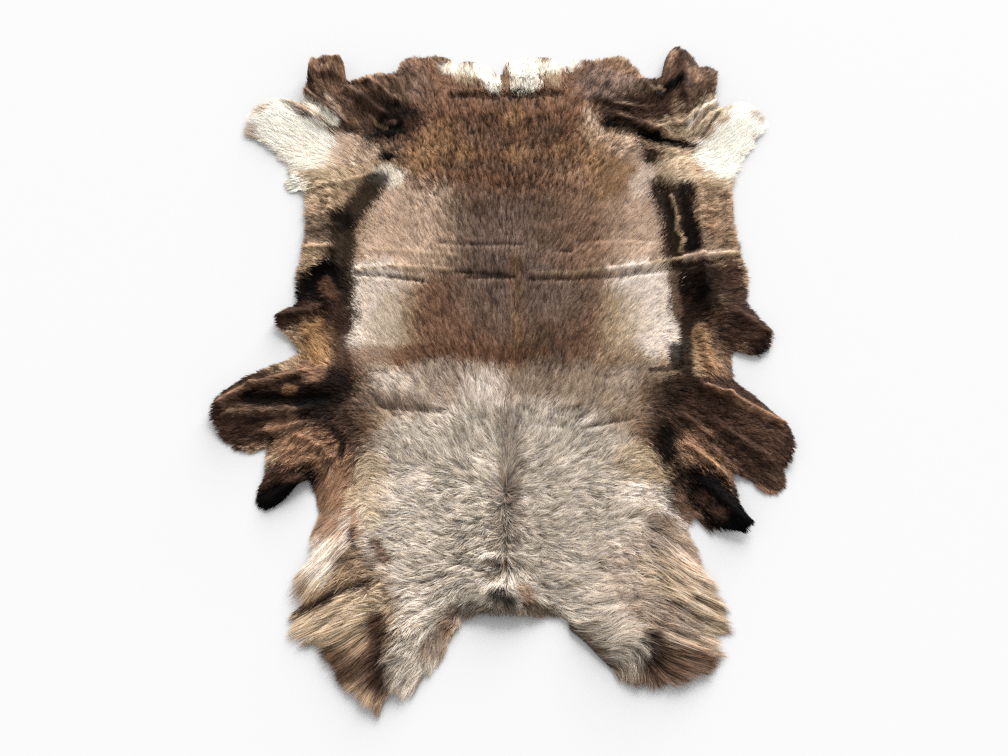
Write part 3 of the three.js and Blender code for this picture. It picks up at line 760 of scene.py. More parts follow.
# %% Directions of the coat
Lay = namedtuple("Lay", "place x y degrees")
TRUNK_LAYS = [
    Lay("spine", 0, 450, 90),
    Lay("spine", 0, 300, 90),
    Lay("spine", 0, 120, 90),
    Lay("spine", 0, -60, 92),
    Lay("back", -60, 60, 104),
    Lay("back", -130, 60, 120),
    Lay("back", -130, 180, 120),
    Lay("back", -120, 300, 114),
    Lay("back", -210, 60, 124),
    Lay("back", -215, 180, 136),
    Lay("back", -205, 300, 130),
    Lay("flank", -262, 30, 164),
    Lay("flank", -270, 130, 150),
    Lay("loin", -60, 430, 94),
    Lay("loin", -130, 480, 104),
    Lay("rump", -200, 550, 120),
    Lay("rump", -130, 575, 108),
    Lay("withers", -90, -60, 112),
    Lay("withers", -190, -80, 130),
    Lay("neck", -34, -150, 112),
    Lay("neck", -100, -190, 124),
    Lay("neck", -180, -190, 140),
    Lay("neck", -36, -240, 158),
    Lay("neck", -36, -310, 194),
    Lay("neck", -110, -300, 184),
    Lay("neck", -200, -300, 172),
    Lay("neck", -26, -365, 204),
    Lay("neck", -130, -355, 156),
    Lay("neck", -70, -395, 192),
    Lay("neck", -150, -400, 186),
    Lay("nape", -18, -460, 215),
    Lay("belly", -290, 200, 150),
    Lay("belly", -290, 330, 140),
]
LEFT_LAYS = [
    Lay("outer flank", -345, 240, 160),
    Lay("belly patch", -340, 90, 172),
    Lay("elbow", -340, 20, 172),
    Lay("elbow spike", -380, 36, 185),
    Lay("elbow", -330, -30, 118),
    Lay("foreleg", -330, -100, 188),
    Lay("foreleg", -420, -130, 190),
    Lay("foreleg", -460, -180, 196),
    Lay("armpit", -330, -200, 222),
    Lay("armpit", -272, -222, 250),
    Lay("armpit lobe", -370, -285, 226),
    Lay("neck strip", -284, -300, 246),
    Lay("upper locks", -268, -370, 230),
    Lay("upper locks", -315, -440, 233),
    Lay("second locks", -230, -470, 212),
    Lay("second locks", -305, -505, 200),
    Lay("lobe brown", -250, -575, 208),
    Lay("lobe dark", -194, -560, 225),
    Lay("lobe inner", -146, -510, 226),
    Lay("lobe inner", -115, -470, 198),
    Lay("lobe inner edge", -92, -516, 264),
    Lay("lobe inner edge", -132, -580, 252),
    Lay("lobe point", -184, -622, 256),
    Lay("stifle", -385, 325, 205),
    Lay("thigh", -330, 350, 165),
    Lay("hock", -390, 430, 156),
    Lay("hock tip", -465, 455, 165),
    Lay("haunch", -300, 430, 140),
    Lay("brown flap", -345, 500, 128),
    Lay("tail", -105, 575, 280),
    Lay("tail", -75, 560, 278),
    Lay("tail", -48, 565, 285),
    Lay("tail", -28, 550, 282),
    Lay("tail", -24, 530, 280),
    Lay("tail", -60, 535, 280),
    Lay("tail parting", 0, 555, 270),
    Lay("below the tail", -90, 505, 96),
    Lay("below the tail", -40, 500, 92),
    Lay("below the tail", 0, 502, 90),
    Lay("below the tail", 45, 502, 88),
    Lay("below the tail", 90, 506, 84),
    Lay("knob", -342, 580, 105),
    Lay("haunch", -240, 470, 125),
]
RIGHT_LAYS = [
    Lay("outer flank", 385, 240, 20),
    Lay("belly patch", 350, 90, 8),
    Lay("elbow", 350, 0, -10),
    Lay("elbow", 430, 0, -14),
    Lay("elbow tan", 362, -70, -55),
    Lay("foreleg", 345, -125, -25),
    Lay("foreleg", 420, -200, -30),
    Lay("foreleg", 455, -240, -38),
    Lay("armpit", 275, -200, -60),
    Lay("armpit fan", 335, -235, -55),
    Lay("hook", 350, -310, -46),
    Lay("hook", 400, -358, -40),
    Lay("neck strip", 290, -340, -50),
    Lay("locks", 282, -400, -42),
    Lay("locks", 320, -460, -34),
    Lay("locks", 335, -505, -20),
    Lay("locks", 320, -548, -8),
    Lay("lobe brown", 270, -575, -14),
    Lay("lobe", 225, -470, -6),
    Lay("lobe inner", 150, -505, 18),
    Lay("lobe point", 206, -596, -95),
    Lay("thigh", 350, 345, 10),
    Lay("hock", 400, 400, 30),
    Lay("hock tip", 465, 450, 40),
    Lay("haunch", 300, 430, -20),
    Lay("haunch, upper", 282, 525, 50),
    Lay("hock strip", 366, 456, 52),
    Lay("knob", 350, 560, 68),
    Lay("knob corner", 390, 540, 50),
    Lay("tail", 28, 575, 266),
    Lay("tail", 40, 550, 268),
    Lay("tail", 44, 532, 266),
    Lay("tail", 70, 536, 264),
    Lay("tail", 75, 560, 262),
    Lay("tail", 110, 575, 258),
    Lay("haunch", 235, 465, -16),
]
LAY_REACH = 26 * MM
LAY_SHARPNESS = 1.6


def mirrored(lays):
    """The same directions on the other side of the spine."""
    return [Lay(lay.place, -lay.x, lay.y, 180 - lay.degrees) for lay in lays if lay.x]


def lay_maps():
    """Maps of the coat's direction, as the two parts of a unit arrow."""
    lays = TRUNK_LAYS + mirrored(TRUNK_LAYS) + LEFT_LAYS + RIGHT_LAYS
    arrow_x, arrow_y = np.zeros(shape), np.zeros(shape)
    for lay in lays:
        away = (plan_x - lay.x * MM) ** 2 + (plan_y - lay.y * MM) ** 2
        weight = 1 / (away + LAY_REACH ** 2) ** LAY_SHARPNESS
        arrow_x += weight * math.cos(math.radians(lay.degrees))
        arrow_y += weight * math.sin(math.radians(lay.degrees))
    length = np.hypot(arrow_x, arrow_y)
    print(len(lays), "directions of the coat")
    return arrow_x / length, arrow_y / length


lay_x_map, lay_y_map = lay_maps()


def lay_angle(x, y):
    """Direction of the coat at each place, in radians."""
    return np.arctan2(read_map(lay_y_map, x, y), read_map(lay_x_map, x, y))


# %% [markdown]
# ## Streaks
#
# Neighbouring hairs hold together in streaks that follow the lie of the coat. To find them,
# plain noise is averaged along the lie: each place walks a short way up and down the coat
# and takes the mean of what it meets. Noise across the lie stays sharp and noise along it
# smears out, which is just what combed hair looks like. Fine streaks suit the short coat
# and coarse ones the long.

# %% Streaks along the coat
STREAK_STEP = 2 * MM
STREAK_STRIDE = 1.5  # length of one step of the walk, in bumps of the noise


def streak_map(size, half_length, seed):
    """Noise drawn out along the lie of the coat, spread evenly about 0."""
    x = np.arange(map_x[0], map_x[-1], STREAK_STEP)
    y = np.arange(map_y[0], map_y[-1], STREAK_STEP)
    grid_x, grid_y = np.meshgrid(x, y)
    total = soft_noise(grid_x, grid_y, size, seed)
    for way in (1, -1):
        place_x, place_y = grid_x, grid_y
        for _ in range(int(half_length / (STREAK_STRIDE * size)) + 1):
            reach = way * STREAK_STRIDE * size
            place_x = place_x + reach * read_map(lay_x_map, place_x, place_y)
            place_y = place_y + reach * read_map(lay_y_map, place_x, place_y)
            total = total + soft_noise(place_x, place_y, size, seed)
    return (total - total.mean()) / total.std()


def read_streaks(values, x, y):
    """Value of a streak map at the cell nearest to each place."""
    column = np.clip(((x - map_x[0]) / STREAK_STEP).round().astype(int), 0, values.shape[1] - 1)
    row = np.clip(((y - map_y[0]) / STREAK_STEP).round().astype(int), 0, values.shape[0] - 1)
    return values[row, column]


fine_streaks = streak_map(size=2.7 * MM, half_length=2.5 * MM, seed=71)
middle_streaks = streak_map(size=4 * MM, half_length=13 * MM, seed=72)
broad_streaks = streak_map(size=9 * MM, half_length=60 * MM, seed=73)
print("streak map cells:", fine_streaks.shape)

# %% [markdown]
# ## Length and ruffle
#
# The coat differs from part to part in five ways: how long its hairs are, in millimetres,
# how far they stray from the lie of the coat, in degrees, how strongly they draw together
# in tufts, how much neighbouring hairs differ in tone, and how lumpy the top of the coat
# is. A table gives the five, again as soft-edged rows laid over each other in order.

# %% Kinds of coat
WAYS = ("length", "tousle", "gather", "speckle", "lump")
Kind = namedtuple("Kind", ("place", "x0", "y0", "x1", "y1", "reach", "edge", *WAYS))
KINDS = [
    Kind("legs and flanks", 0, 0, 0, 0, 2000, 0.1, 10, 11, 0.4, 0.36, 0.25),
    Kind("back", 0, -20, 0, 420, 270, 0.3, 6.5, 20, 0.15, 0.27, 0.12),
    Kind("loin", -80, 440, 80, 440, 150, 0.5, 6.5, 44, 0.4, 0.5, 0.4),
    Kind("left flank", -235, 290, -232, -20, 62, 0.6, 7.5, 16, 0.15, 0.13, 0.12),
    Kind("right flank", 245, 320, 262, -20, 62, 0.6, 7.5, 16, 0.15, 0.15, 0.12),
    Kind("rump", -180, 545, 190, 545, 70, 0.5, 11, 24, 0.45, 0.45, 0.3),
    Kind("withers", -180, -110, 200, -110, 60, 0.8, 9, 18, 0.3, 0.27, 0.2),
    Kind("neck", -110, -210, 110, -210, 130, 0.5, 18, 24, 0.3, 0.3, 0.22),
    Kind("neck", -140, -360, 150, -360, 150, 0.4, 20, 26, 0.35, 0.33, 0.26),
    Kind("left upper locks", -276, -356, -312, -440, 46, 0.5, 80, 7, 0.8, 0.34, 0.4),
    Kind("left lower locks", -292, -504, -205, -580, 78, 0.4, 80, 7, 0.8, 0.34, 0.4),
    Kind("left lobe, inner", -130, -470, -132, -575, 44, 0.5, 28, 18, 0.5, 0.3, 0.35),
    Kind("right locks", 290, -410, 290, -540, 74, 0.5, 80, 7, 0.8, 0.34, 0.4),
    Kind("right lobe, inner", 120, -480, 180, -560, 40, 0.6, 30, 18, 0.5, 0.34, 0.35),
    Kind("neck strip", -285, -260, -285, -350, 24, 0.6, 32, 8, 0.6, 0.35, 0.2),
    Kind("tail", -90, 572, 100, 578, 34, 0.4, 24, 6, 0.6, 0.1, 0.2),
    Kind("left hock", -450, 450, -340, 390, 58, 0.5, 28, 8, 0.3, 0.04, 0.12),
    Kind("right hock", 390, 360, 470, 450, 58, 0.5, 28, 8, 0.3, 0.04, 0.12),
    Kind("left crease", -262, 128, 10, 124, 14, 0.5, 7, 5, 0.2, 0.25, 0.1),
    Kind("right crease", 70, 122, 262, 140, 14, 0.5, 7, 5, 0.2, 0.25, 0.1),
    Kind("right crease", 262, 140, 419, 160, 14, 0.5, 7, 5, 0.2, 0.25, 0.1),
]


def kind_at(x, y):
    """Length in metres, tousle in radians, gather, speckle and lump at each place."""
    values = np.zeros((len(x), len(WAYS)))
    for kind in KINDS:
        ways = np.array([getattr(kind, way) for way in WAYS])
        values += eased(share_of(x, y, kind))[:, None] * (ways - values)
    length, tousle, gather, speckle, lump = values.T
    return length * MM, np.radians(tousle), gather, speckle, lump


print(len(KINDS), "kinds of coat")

# %% [markdown]
# ## The skin
#
# The skin is cut from a flat grid, as a pattern is cut from a length of leather. It is
# smaller than the coat all round, because hair overhangs the rim: by a few millimetres on
# the legs and by about five centimetres at the neck's locks. The vertices beyond the cut
# are deleted in edit mode, the ragged edge is drawn onto the cut line, and Solidify gives
# the sheet its thickness. The table gives the overhang in millimetres.

# %% The skin's cut line
SKIN_CELL = 8 * MM
LEG_OVERHANG = 7
CUT_ROUNDS = 4
LEAST_STEEP = 0.5
Overhang = namedtuple("Overhang", "place x0 y0 x1 y1 reach edge width")
OVERHANGS = [
    Overhang("trunk edges", 0, -100, 0, 300, 400, 0.1, 9),
    Overhang("rump", -180, 600, 200, 600, 60, 0.5, 16),
    Overhang("tail", -80, 590, 95, 590, 60, 0.4, 4),
    Overhang("left hock", -490, 460, -400, 360, 60, 0.5, 20),
    Overhang("right hock", 490, 450, 440, 360, 60, 0.5, 20),
    Overhang("left lobe", -340, -450, -300, -560, 90, 0.5, 48),
    Overhang("right hook finger", 392, -345, 404, -362, 16, 0.5, 4),
    Overhang("right foreleg nub", 462, -235, 466, -262, 16, 0.5, 4),
    Overhang("left point", -190, -640, -230, -600, 60, 0.5, 34),
    Overhang("right lobe", 360, -440, 330, -580, 90, 0.5, 46),
    Overhang("right point", 210, -620, 270, -600, 50, 0.5, 28),
]


def overhang_at(x, y):
    """How far the coat reaches past the skin's edge, in metres."""
    width = np.full(x.shape, float(LEG_OVERHANG))
    for row in OVERHANGS:
        width += share_of(x, y, row) * (row.width - width)
    return width * MM


skin_map = from_rim - overhang_at(plan_x, plan_y)

# %% The skin as a sheet
def positions(mesh):
    """All the vertices of a mesh, as rows."""
    places = np.zeros(len(mesh.vertices) * 3)
    mesh.vertices.foreach_get("co", places)
    return places.reshape(-1, 3)


def make_skin():
    """A flat grid without the vertices that lie beyond the cut line."""
    size = (high.x - low.x, high.y - low.y)
    counts = [round(side / SKIN_CELL) for side in size]
    bpy.ops.object.select_all(action="DESELECT")
    bpy.ops.mesh.primitive_grid_add(x_subdivisions=counts[0], y_subdivisions=counts[1], size=1)
    skin = bpy.context.object
    skin.name = "skin"
    bpy.ops.object.mode_set(mode="EDIT")
    bpy.ops.transform.resize(value=(size[0], size[1], 1))
    bpy.ops.mesh.select_all(action="DESELECT")
    grid = bmesh.from_edit_mesh(skin.data)
    for vertex in grid.verts:
        x, y = np.array([vertex.co.x]), np.array([vertex.co.y])
        vertex.select_set(bool(read_map(skin_map, x, y)[0] < 0))
    bmesh.update_edit_mesh(skin.data)
    bpy.ops.mesh.delete(type="VERT")
    bpy.ops.mesh.select_all(action="SELECT")
    bpy.ops.mesh.delete_loose()
    bpy.ops.object.mode_set(mode="OBJECT")
    return skin


def draw_to_cut(skin):
    """Moves the ragged edge out to the cut line, and lays the sheet on the folds."""
    edge_use = np.zeros(len(skin.data.edges), int)
    for polygon in skin.data.polygons:
        for loop in polygon.loop_indices:
            edge_use[skin.data.loops[loop].edge_index] += 1
    rim_edges = [e for e in skin.data.edges if edge_use[e.index] == 1]
    on_rim = sorted({v for e in rim_edges for v in e.vertices})
    places = positions(skin.data)
    down, across = np.gradient(skin_map, MAP_STEP)
    for _ in range(CUT_ROUNDS):
        x, y = places[on_rim, 0], places[on_rim, 1]
        gap = read_map(skin_map, x, y)
        slope_x, slope_y = read_map(across, x, y), read_map(down, x, y)
        steep = np.maximum(np.hypot(slope_x, slope_y), LEAST_STEEP)
        places[on_rim, 0] -= gap * slope_x / steep ** 2
        places[on_rim, 1] -= gap * slope_y / steep ** 2
    places[:, 2] = read_map(rise_map, places[:, 0], places[:, 1]) + SKIN_THICKNESS
    skin.data.vertices.foreach_set("co", places.ravel())
    skin.data.update()


skin = make_skin()
draw_to_cut(skin)
skin_size = np.ptp(positions(skin.data)[:, :2], axis=0)
print("skin faces:", len(skin.data.polygons), "size:", skin_size.round(3))

# %% The skin's thickness
def add_attribute(mesh, name, colours):
    """Stores a colour for each vertex, which a material reads by name."""
    layer = mesh.attributes.new(name, "FLOAT_COLOR", "POINT")
    full = np.ones((len(mesh.vertices), 4))
    full[:, :3] = colours
    layer.data.foreach_set("color", full.ravel())


skin_places = positions(skin.data)
add_attribute(skin.data, "coat_colour", coat_colour(skin_places[:, 0], skin_places[:, 1]))
thickness = skin.modifiers.new("thickness", "SOLIDIFY")
thickness.thickness = SKIN_THICKNESS
thickness.offset = -1
thickness.material_offset = 1
thickness.material_offset_rim = 1
bpy.ops.object.select_all(action="DESELECT")
skin.select_set(True)
bpy.context.view_layer.objects.active = skin
bpy.ops.object.modifier_apply(modifier="thickness")
bpy.ops.object.shade_smooth()
print("skin with its thickness:", len(skin.data.polygons), "faces")

# %% [markdown]
# ## Hairs as ribbons
#
# Real hair is far finer than any mesh can hold, so each ribbon stands for a lock of a few
# dozen hairs: one or two millimetres wide at its root and running out to a point. It
# starts on the skin or a little above it, follows the lie of the coat, and leans towards
# the middle of its tuft and of a smaller wisp within it. As it goes, it climbs through the
# depth of coat that the frame gives there. Short hairs have one or two steps, and only the
# long locks bend in more.
#
# Half a million ribbons are worked out together as arrays and joined into one mesh for
# each layer, because making them one by one would take hours.

# %% Where hairs are planted
def planted(spacing, seed):
    """Places on the skin, one to each square of the spacing, pushed about at random."""
    draws = np.random.default_rng(seed)
    across = np.arange(low.x, high.x, spacing)
    along = np.arange(low.y, high.y, spacing)
    x, y = (grid.ravel() for grid in np.meshgrid(across, along))
    x = x + draws.uniform(-0.5, 0.5, len(x)) * spacing
    y = y + draws.uniform(-0.5, 0.5, len(y)) * spacing
    kept = read_map(skin_map, x, y) > 0
    return x[kept], y[kept]


# %% How a hair runs
# The three leans say how much each cause counts beside the others.
RIM_SLACK = 5 * MM
SHORTEN = 0.84
SHORTEN_ROUNDS = 8
TUFT_LEAN = 0.8
OWN_LEAN = 0.45
WAVE_LEAN = 1.2
WAVE_SIZE = 32 * MM
WAVE_SEED = 62
TUFT_LENGTH = 0.2
LEAST_LENGTH = 0.75
MOST_LENGTH = 1.1


def run_of_hair(x, y, length, angle_off, steps):
    """Follows the lie of the coat from each root, and returns the places passed."""
    run_x, run_y = [x], [y]
    for _ in range(steps):
        angle = lay_angle(run_x[-1], run_y[-1]) + angle_off
        run_x.append(run_x[-1] + length / steps * np.cos(angle))
        run_y.append(run_y[-1] + length / steps * np.sin(angle))
    return np.stack(run_x, 1), np.stack(run_y, 1)


def runs_within_rim(x, y, length, angle_off, steps):
    """Runs of hair and their lengths, shortened where their tips pass the rim too far."""
    for _ in range(SHORTEN_ROUNDS):
        run_x, run_y = run_of_hair(x, y, length, angle_off, steps)
        beyond = read_map(from_rim, run_x[:, -1], run_y[:, -1]) < -RIM_SLACK
        length = np.where(beyond, length * SHORTEN, length)
    return run_x, run_y, length


def leans(x, y, tousle, luck, draws):
    """How far hairs turn off the lie of the coat, by tufts, alone and in wide waves."""
    off = tousle * (TUFT_LEAN * (2 * luck - 1) + OWN_LEAN * draws.normal(size=len(x)))
    return off + WAVE_LEAN * tousle * soft_noise(x, y, WAVE_SIZE, WAVE_SEED)


# %% How far a hair's tone and height stray
# The tones and lumps say how much each cause counts beside the others.
MIDDLE_LENGTH = 16 * MM
MIDDLE_FROM = 0.7
LONG_LENGTH = 44 * MM
LONG_FROM = 0.5
OWN_TONE = 0.7
STREAK_TONE = 1.1
TUFT_TONE = 0.9
PATCH_TONES = {9 * MM: 0.6, 38 * MM: 0.7}  # by the size of the patches
PATCH_SEED = 63
LIGHTER = 0.75
DARKER = 1.2
DARKEST_TONE = 0.15
LIGHTEST_TONE = 2.2
LUMP_SIZE = 26 * MM
LUMP_SEED = 65
NOISE_LUMP = 0.7
TUFT_LUMP = 0.5
STREAK_LUMP = 0.3
RIM_BLEND = 25 * MM
RIM_TAPER = 0.7
CLIMB_POWER = 1.6


def streak_at(x, y, length):
    """Streaks at each place: fine on short hair, broad on long hair."""
    middling = np.clip(length / MIDDLE_LENGTH - MIDDLE_FROM, 0, 1)
    long = np.clip(length / LONG_LENGTH - LONG_FROM, 0, 1)
    near = (1 - middling) * read_streaks(fine_streaks, x, y)
    near += middling * read_streaks(middle_streaks, x, y)
    return (1 - long) * near + long * read_streaks(broad_streaks, x, y)


def hair_tones(x, y, speckle, gather, streak, luck, draws):
    """How much lighter or darker than its mark each hair is, alone and with others."""
    mixed = OWN_TONE * draws.normal(size=len(x)) + STREAK_TONE * streak
    mixed += TUFT_TONE * gather * (2 * luck - 1)
    for order, (size, tone) in enumerate(PATCH_TONES.items()):
        mixed += tone * soft_noise(x, y, size, PATCH_SEED + order)
    lean = np.where(mixed > 0, LIGHTER, DARKER)
    return np.clip(np.exp(lean * speckle * mixed), DARKEST_TONE, LIGHTEST_TONE)


def hair_levels(x, y, root_level, tip_level, lump, streak, luck, share, draws):
    """How far up the coat's depth each point of a hair is, lower near the rim."""
    lumps = NOISE_LUMP * soft_noise(x, y, LUMP_SIZE, LUMP_SEED) + TUFT_LUMP * (2 * luck - 1)
    lumpy = 1 + lump * (lumps + STREAK_LUMP * streak)
    near_rim = np.clip(1 - read_map(from_rim, x, y) / RIM_BLEND, 0, 1)
    tip = tip_level * lumpy * (1 - RIM_TAPER * near_rim * draws.random(len(x)))
    root = root_level * tip_level * (1 - near_rim)
    climb = 1 - (1 - share) ** CLIMB_POWER
    return root[:, None] + (tip - root)[:, None] * climb


# %% Whole hairs
TUFT_SIZE = 11 * MM
TUFT_SEED = 60
WISP_SIZE = 4 * MM
WISP_SEED = 61
WISP_GATHER = 0.45
GATHER_POWER = 1.3
SKIN_EDGE = 4 * MM


def hair_paths(x, y, root_level, tip_level, steps, tuft_size, seed):
    """Paths of the hairs rooted at x, y, as hairs, points and coordinates, and their tones."""
    draws = np.random.default_rng(seed)
    length, tousle, gather, speckle, lump = kind_at(x, y)
    tuft_x, tuft_y, luck = nearest_tuft(x, y, tuft_size, TUFT_SEED)
    wisp_x, wisp_y, _ = nearest_tuft(x, y, WISP_SIZE, WISP_SEED)
    lean_luck, length_luck, height_luck, tone_luck = luck.T
    off = leans(x, y, tousle, lean_luck, draws)
    length = length * (1 + TUFT_LENGTH * (2 * length_luck - 1))
    length = length * draws.uniform(LEAST_LENGTH, MOST_LENGTH, len(x))
    run_x, run_y, length = runs_within_rim(x, y, length, off, steps)
    share = np.linspace(0, 1, steps + 1)[None, :]
    pull = gather[:, None] * share ** GATHER_POWER
    run_x += pull * ((1 - WISP_GATHER) * (tuft_x - x) + WISP_GATHER * (wisp_x - x))[:, None]
    run_y += pull * ((1 - WISP_GATHER) * (tuft_y - y) + WISP_GATHER * (wisp_y - y))[:, None]
    tip_x, tip_y = run_x[:, -1], run_y[:, -1]
    streak = streak_at(tip_x, tip_y, length)
    level = hair_levels(x, y, root_level, tip_level, lump, streak, height_luck, share, draws)
    height = read_map(rise_map, run_x, run_y) + read_map(coat_map, run_x, run_y) * level
    on_skin = np.clip(read_map(skin_map, run_x, run_y) / SKIN_EDGE + 1, 0, 1)
    height = np.maximum(height + SKIN_THICKNESS * on_skin, 0)
    tones = hair_tones(tip_x, tip_y, speckle, gather, streak, tone_luck, draws)
    return np.stack([run_x, run_y, height], 2), tones


# %% Ribbons along the paths
MAP_NAME = "OFBake"
CELL_INSET = 0.16
UP = np.array([0.0, 0.0, 1.0])


def unit(arrows):
    """Arrows with the same directions, one unit long."""
    return arrows / np.maximum(np.linalg.norm(arrows, axis=2, keepdims=True), TINY)


def ribbon_corners(paths, width, rolls):
    """Two corners at each point of each path and one at its tip."""
    along = unit(np.gradient(paths, axis=1))
    level = unit(np.cross(along, UP))
    upright = np.cross(level, along)
    turn = rolls[:, None, None]
    side = level * np.cos(turn) + upright * np.sin(turn)
    points = paths.shape[1]
    taper = np.sqrt(1 - (np.arange(points - 1) / (points - 1)) ** 2)
    half = 0.5 * width * taper[None, :, None]
    body = paths[:, :-1]
    pairs = np.stack([body - side[:, :-1] * half, body + side[:, :-1] * half], 2)
    pairs = pairs.reshape(len(paths), 2 * (points - 1), 3)
    corners = np.concatenate([pairs, paths[:, -1:]], 1)
    corners[:, :, 2] = np.maximum(corners[:, :, 2], 0)
    return corners


def ribbon_faces(points):
    """Corner numbers of one ribbon's faces: squares, and a triangle at the tip."""
    loops = []
    starts = []
    for step in range(points - 2):
        starts.append(len(loops))
        loops += [2 * step, 2 * step + 1, 2 * step + 3, 2 * step + 2]
    starts.append(len(loops))
    last = 2 * (points - 2)
    loops += [last, last + 1, last + 2]
    return np.array(loops), np.array(starts)


def ribbon_mesh(name, corners, points):
    """One mesh of all the ribbons, and the corner number of each of its face corners."""
    count, each = corners.shape[:2]
    loops, starts = ribbon_faces(points)
    first = np.arange(count)[:, None]
    numbers = (first * each + loops).ravel()
    mesh = bpy.data.meshes.new(name)
    mesh.vertices.add(count * each)
    mesh.vertices.foreach_set("co", corners.ravel())
    mesh.loops.add(count * len(loops))
    mesh.loops.foreach_set("vertex_index", numbers)
    mesh.polygons.add(count * len(starts))
    mesh.polygons.foreach_set("loop_start", (first * len(loops) + starts).ravel())
    mesh.polygons.foreach_set("use_smooth", np.ones(count * len(starts), bool))
    mesh.update(calc_edges=True)
    return mesh, numbers


def cell_map(roots, points):
    """A small cell of the bake image for each ribbon, with neighbours kept together."""
    count = len(roots)
    across = math.ceil(math.sqrt(count))
    by_row = np.argsort(roots[:, 1])
    order = np.empty(count, int)
    for start in range(0, count, across):
        band = by_row[start:start + across]
        order[band[np.argsort(roots[band, 0])]] = start + np.arange(len(band))
    corner = np.stack([order % across, order // across], 1)[:, None, :]
    rows = np.linspace(CELL_INSET, 1 - CELL_INSET, points)
    sides = np.repeat(rows[:-1], 2)
    inner = np.stack([np.tile([CELL_INSET, 1 - CELL_INSET], points - 1), sides], 1)
    inner = np.concatenate([inner, [[0.5, rows[-1]]]])
    return (corner + inner[None]) / across


# %% Colours along the hairs
COLOUR_STRAY = 7 * MM
SEEN_SHARE = 0.5
LONG_POINTS = 4
WARMER = np.array([0.05, 0, -0.08])  # in red, green and blue
DARKEST = 0.001
BRIGHTEST = 0.95
PALE_FROM = 0.6
PALE_DEPTH = 0.1


def path_colours(paths, tones, seed):
    """Colours at each point of each hair. A short hair has one, read halfway to its tip."""
    draws = np.random.default_rng(seed)
    count, points = paths.shape[:2]
    if points >= LONG_POINTS:
        seen = paths[:, :, :2]
    else:
        seen = SEEN_SHARE * paths[:, -1:, :2] + (1 - SEEN_SHARE) * paths[:, :1, :2]
    jitter = np.broadcast_to(draws.normal(size=(count, 1, 2)) * COLOUR_STRAY, seen.shape)
    colour = coat_colour(*seen.reshape(-1, 2).T, *jitter.reshape(-1, 2).T)
    colour = colour.reshape(count, -1, 3)
    warmth = draws.normal(size=(count, 1, 1)) * WARMER
    colour = colour * tones[:, None, None] * (1 + warmth)
    return np.clip(np.broadcast_to(colour, (count, points, 3)), DARKEST, BRIGHTEST)


# The slope sets how much painted root shade the material gives each hair.
def places_along(colour, points):
    """0 at the root and 1 at the tip of a dark hair, and less of a slope on pale ones."""
    rows = np.append(np.repeat(np.linspace(0, 1, points)[:-1], 2), 1)
    paleness = np.clip(colour[:, :1].mean(axis=2) / PALE_FROM, 0, 1)
    depth = 1 - (1 - PALE_DEPTH) * paleness
    return 1 - (1 - rows[None, :]) * depth


# %% [markdown]
# ## Shading the coat as one surface
#
# A real coat shines softly as a whole, but ribbons that each catch the light on their own
# look like wire. So every corner is given a normal halfway between the ribbon's own and
# that of the coat's surface, which is the slope of the rise and the coat's depth together.

# %% Normals and the joined mesh
SOFT_NORMAL = 0.5

slope_down, slope_across = np.gradient(rise_map + coat_map, MAP_STEP)


def soft_normals(paths):
    """Normals between each hair's own and the coat's, at each point."""
    along = unit(np.gradient(paths, axis=1))
    own = UP - along * along[:, :, 2:]
    x, y = paths[:, :, 0], paths[:, :, 1]
    fall_x, fall_y = -read_map(slope_across, x, y), -read_map(slope_down, x, y)
    coat = unit(np.stack([fall_x, fall_y, np.ones(x.shape)], 2))
    return unit((1 - SOFT_NORMAL) * own + SOFT_NORMAL * coat)


def make_coat(name, paths, tones, width, rolls, seed):
    """One piece of many ribbons, with a colour and a place along the hair at each corner."""
    points = paths.shape[1]
    mesh, numbers = ribbon_mesh(name, ribbon_corners(paths, width, rolls), points)
    per_corner = np.append(np.repeat(np.arange(points)[:-1], 2), points - 1)
    colour = path_colours(paths, tones, seed)
    add_attribute(mesh, "coat_colour", colour[:, per_corner].reshape(-1, 3))
    along = mesh.attributes.new("along", "FLOAT", "POINT")
    along.data.foreach_set("value", places_along(colour, points).ravel())
    places = cell_map(paths[:, 0, :2], points).reshape(-1, 2)
    layer = mesh.uv_layers.new(name=MAP_NAME)
    layer.data.foreach_set("uv", places[numbers].ravel())
    mesh.validate()
    normals = soft_normals(paths)[:, per_corner].reshape(-1, 3)
    mesh.normals_split_custom_set_from_vertices(normals)
    coat = bpy.data.objects.new(name, mesh)
    bpy.context.scene.collection.objects.link(coat)
    triangles = sum(len(p.vertices) - 2 for p in mesh.polygons)
    print(name, "hairs:", len(paths), "triangles:", triangles)
    return coat


# %% [markdown]
# ## Planting the coat in layers
#
# The short coat is planted four times over, each layer a little higher than the last, so
# that a parting shows hair below it and not bare skin. The long locks of the neck get a
# layer of their own with more points to each hair, because they bend. Spacing and width
# are in millimetres. A tip's level is a share of the coat's depth, and a root's level is a
# share of its tip's.

# %% The short coat
Layer = namedtuple("Layer", "name spacing steps root_level tip_level width")
LAYERS = [
    Layer("coat_underwool", 3.4, 1, 0, 0.6, 2.4),
    Layer("coat_inner", 2.15, 1, 0.25, 0.8, 1.5),
    Layer("coat_outer", 2.15, 1, 0.4, 0.93, 1.4),
    Layer("coat_guard_hair", 3.75, 2, 0.3, 1.05, 1.1),
]
LEVEL_SPREAD = 0.06
ROLL = math.radians(20)
PLACE_SEED = 100
LEVEL_SEED = 200
PATH_SEED = 300
COLOUR_SEED = 400


def grown(layer, x, y, tip_level, tuft_size, draws, order):
    """One layer of hairs as a piece, from their roots and the levels of their tips."""
    paths, tones = hair_paths(
        x, y, layer.root_level, tip_level, layer.steps, tuft_size, PATH_SEED + order
    )
    rolls = ROLL * draws.normal(size=len(x))
    return make_coat(layer.name, paths, tones, layer.width * MM, rolls, COLOUR_SEED + order)


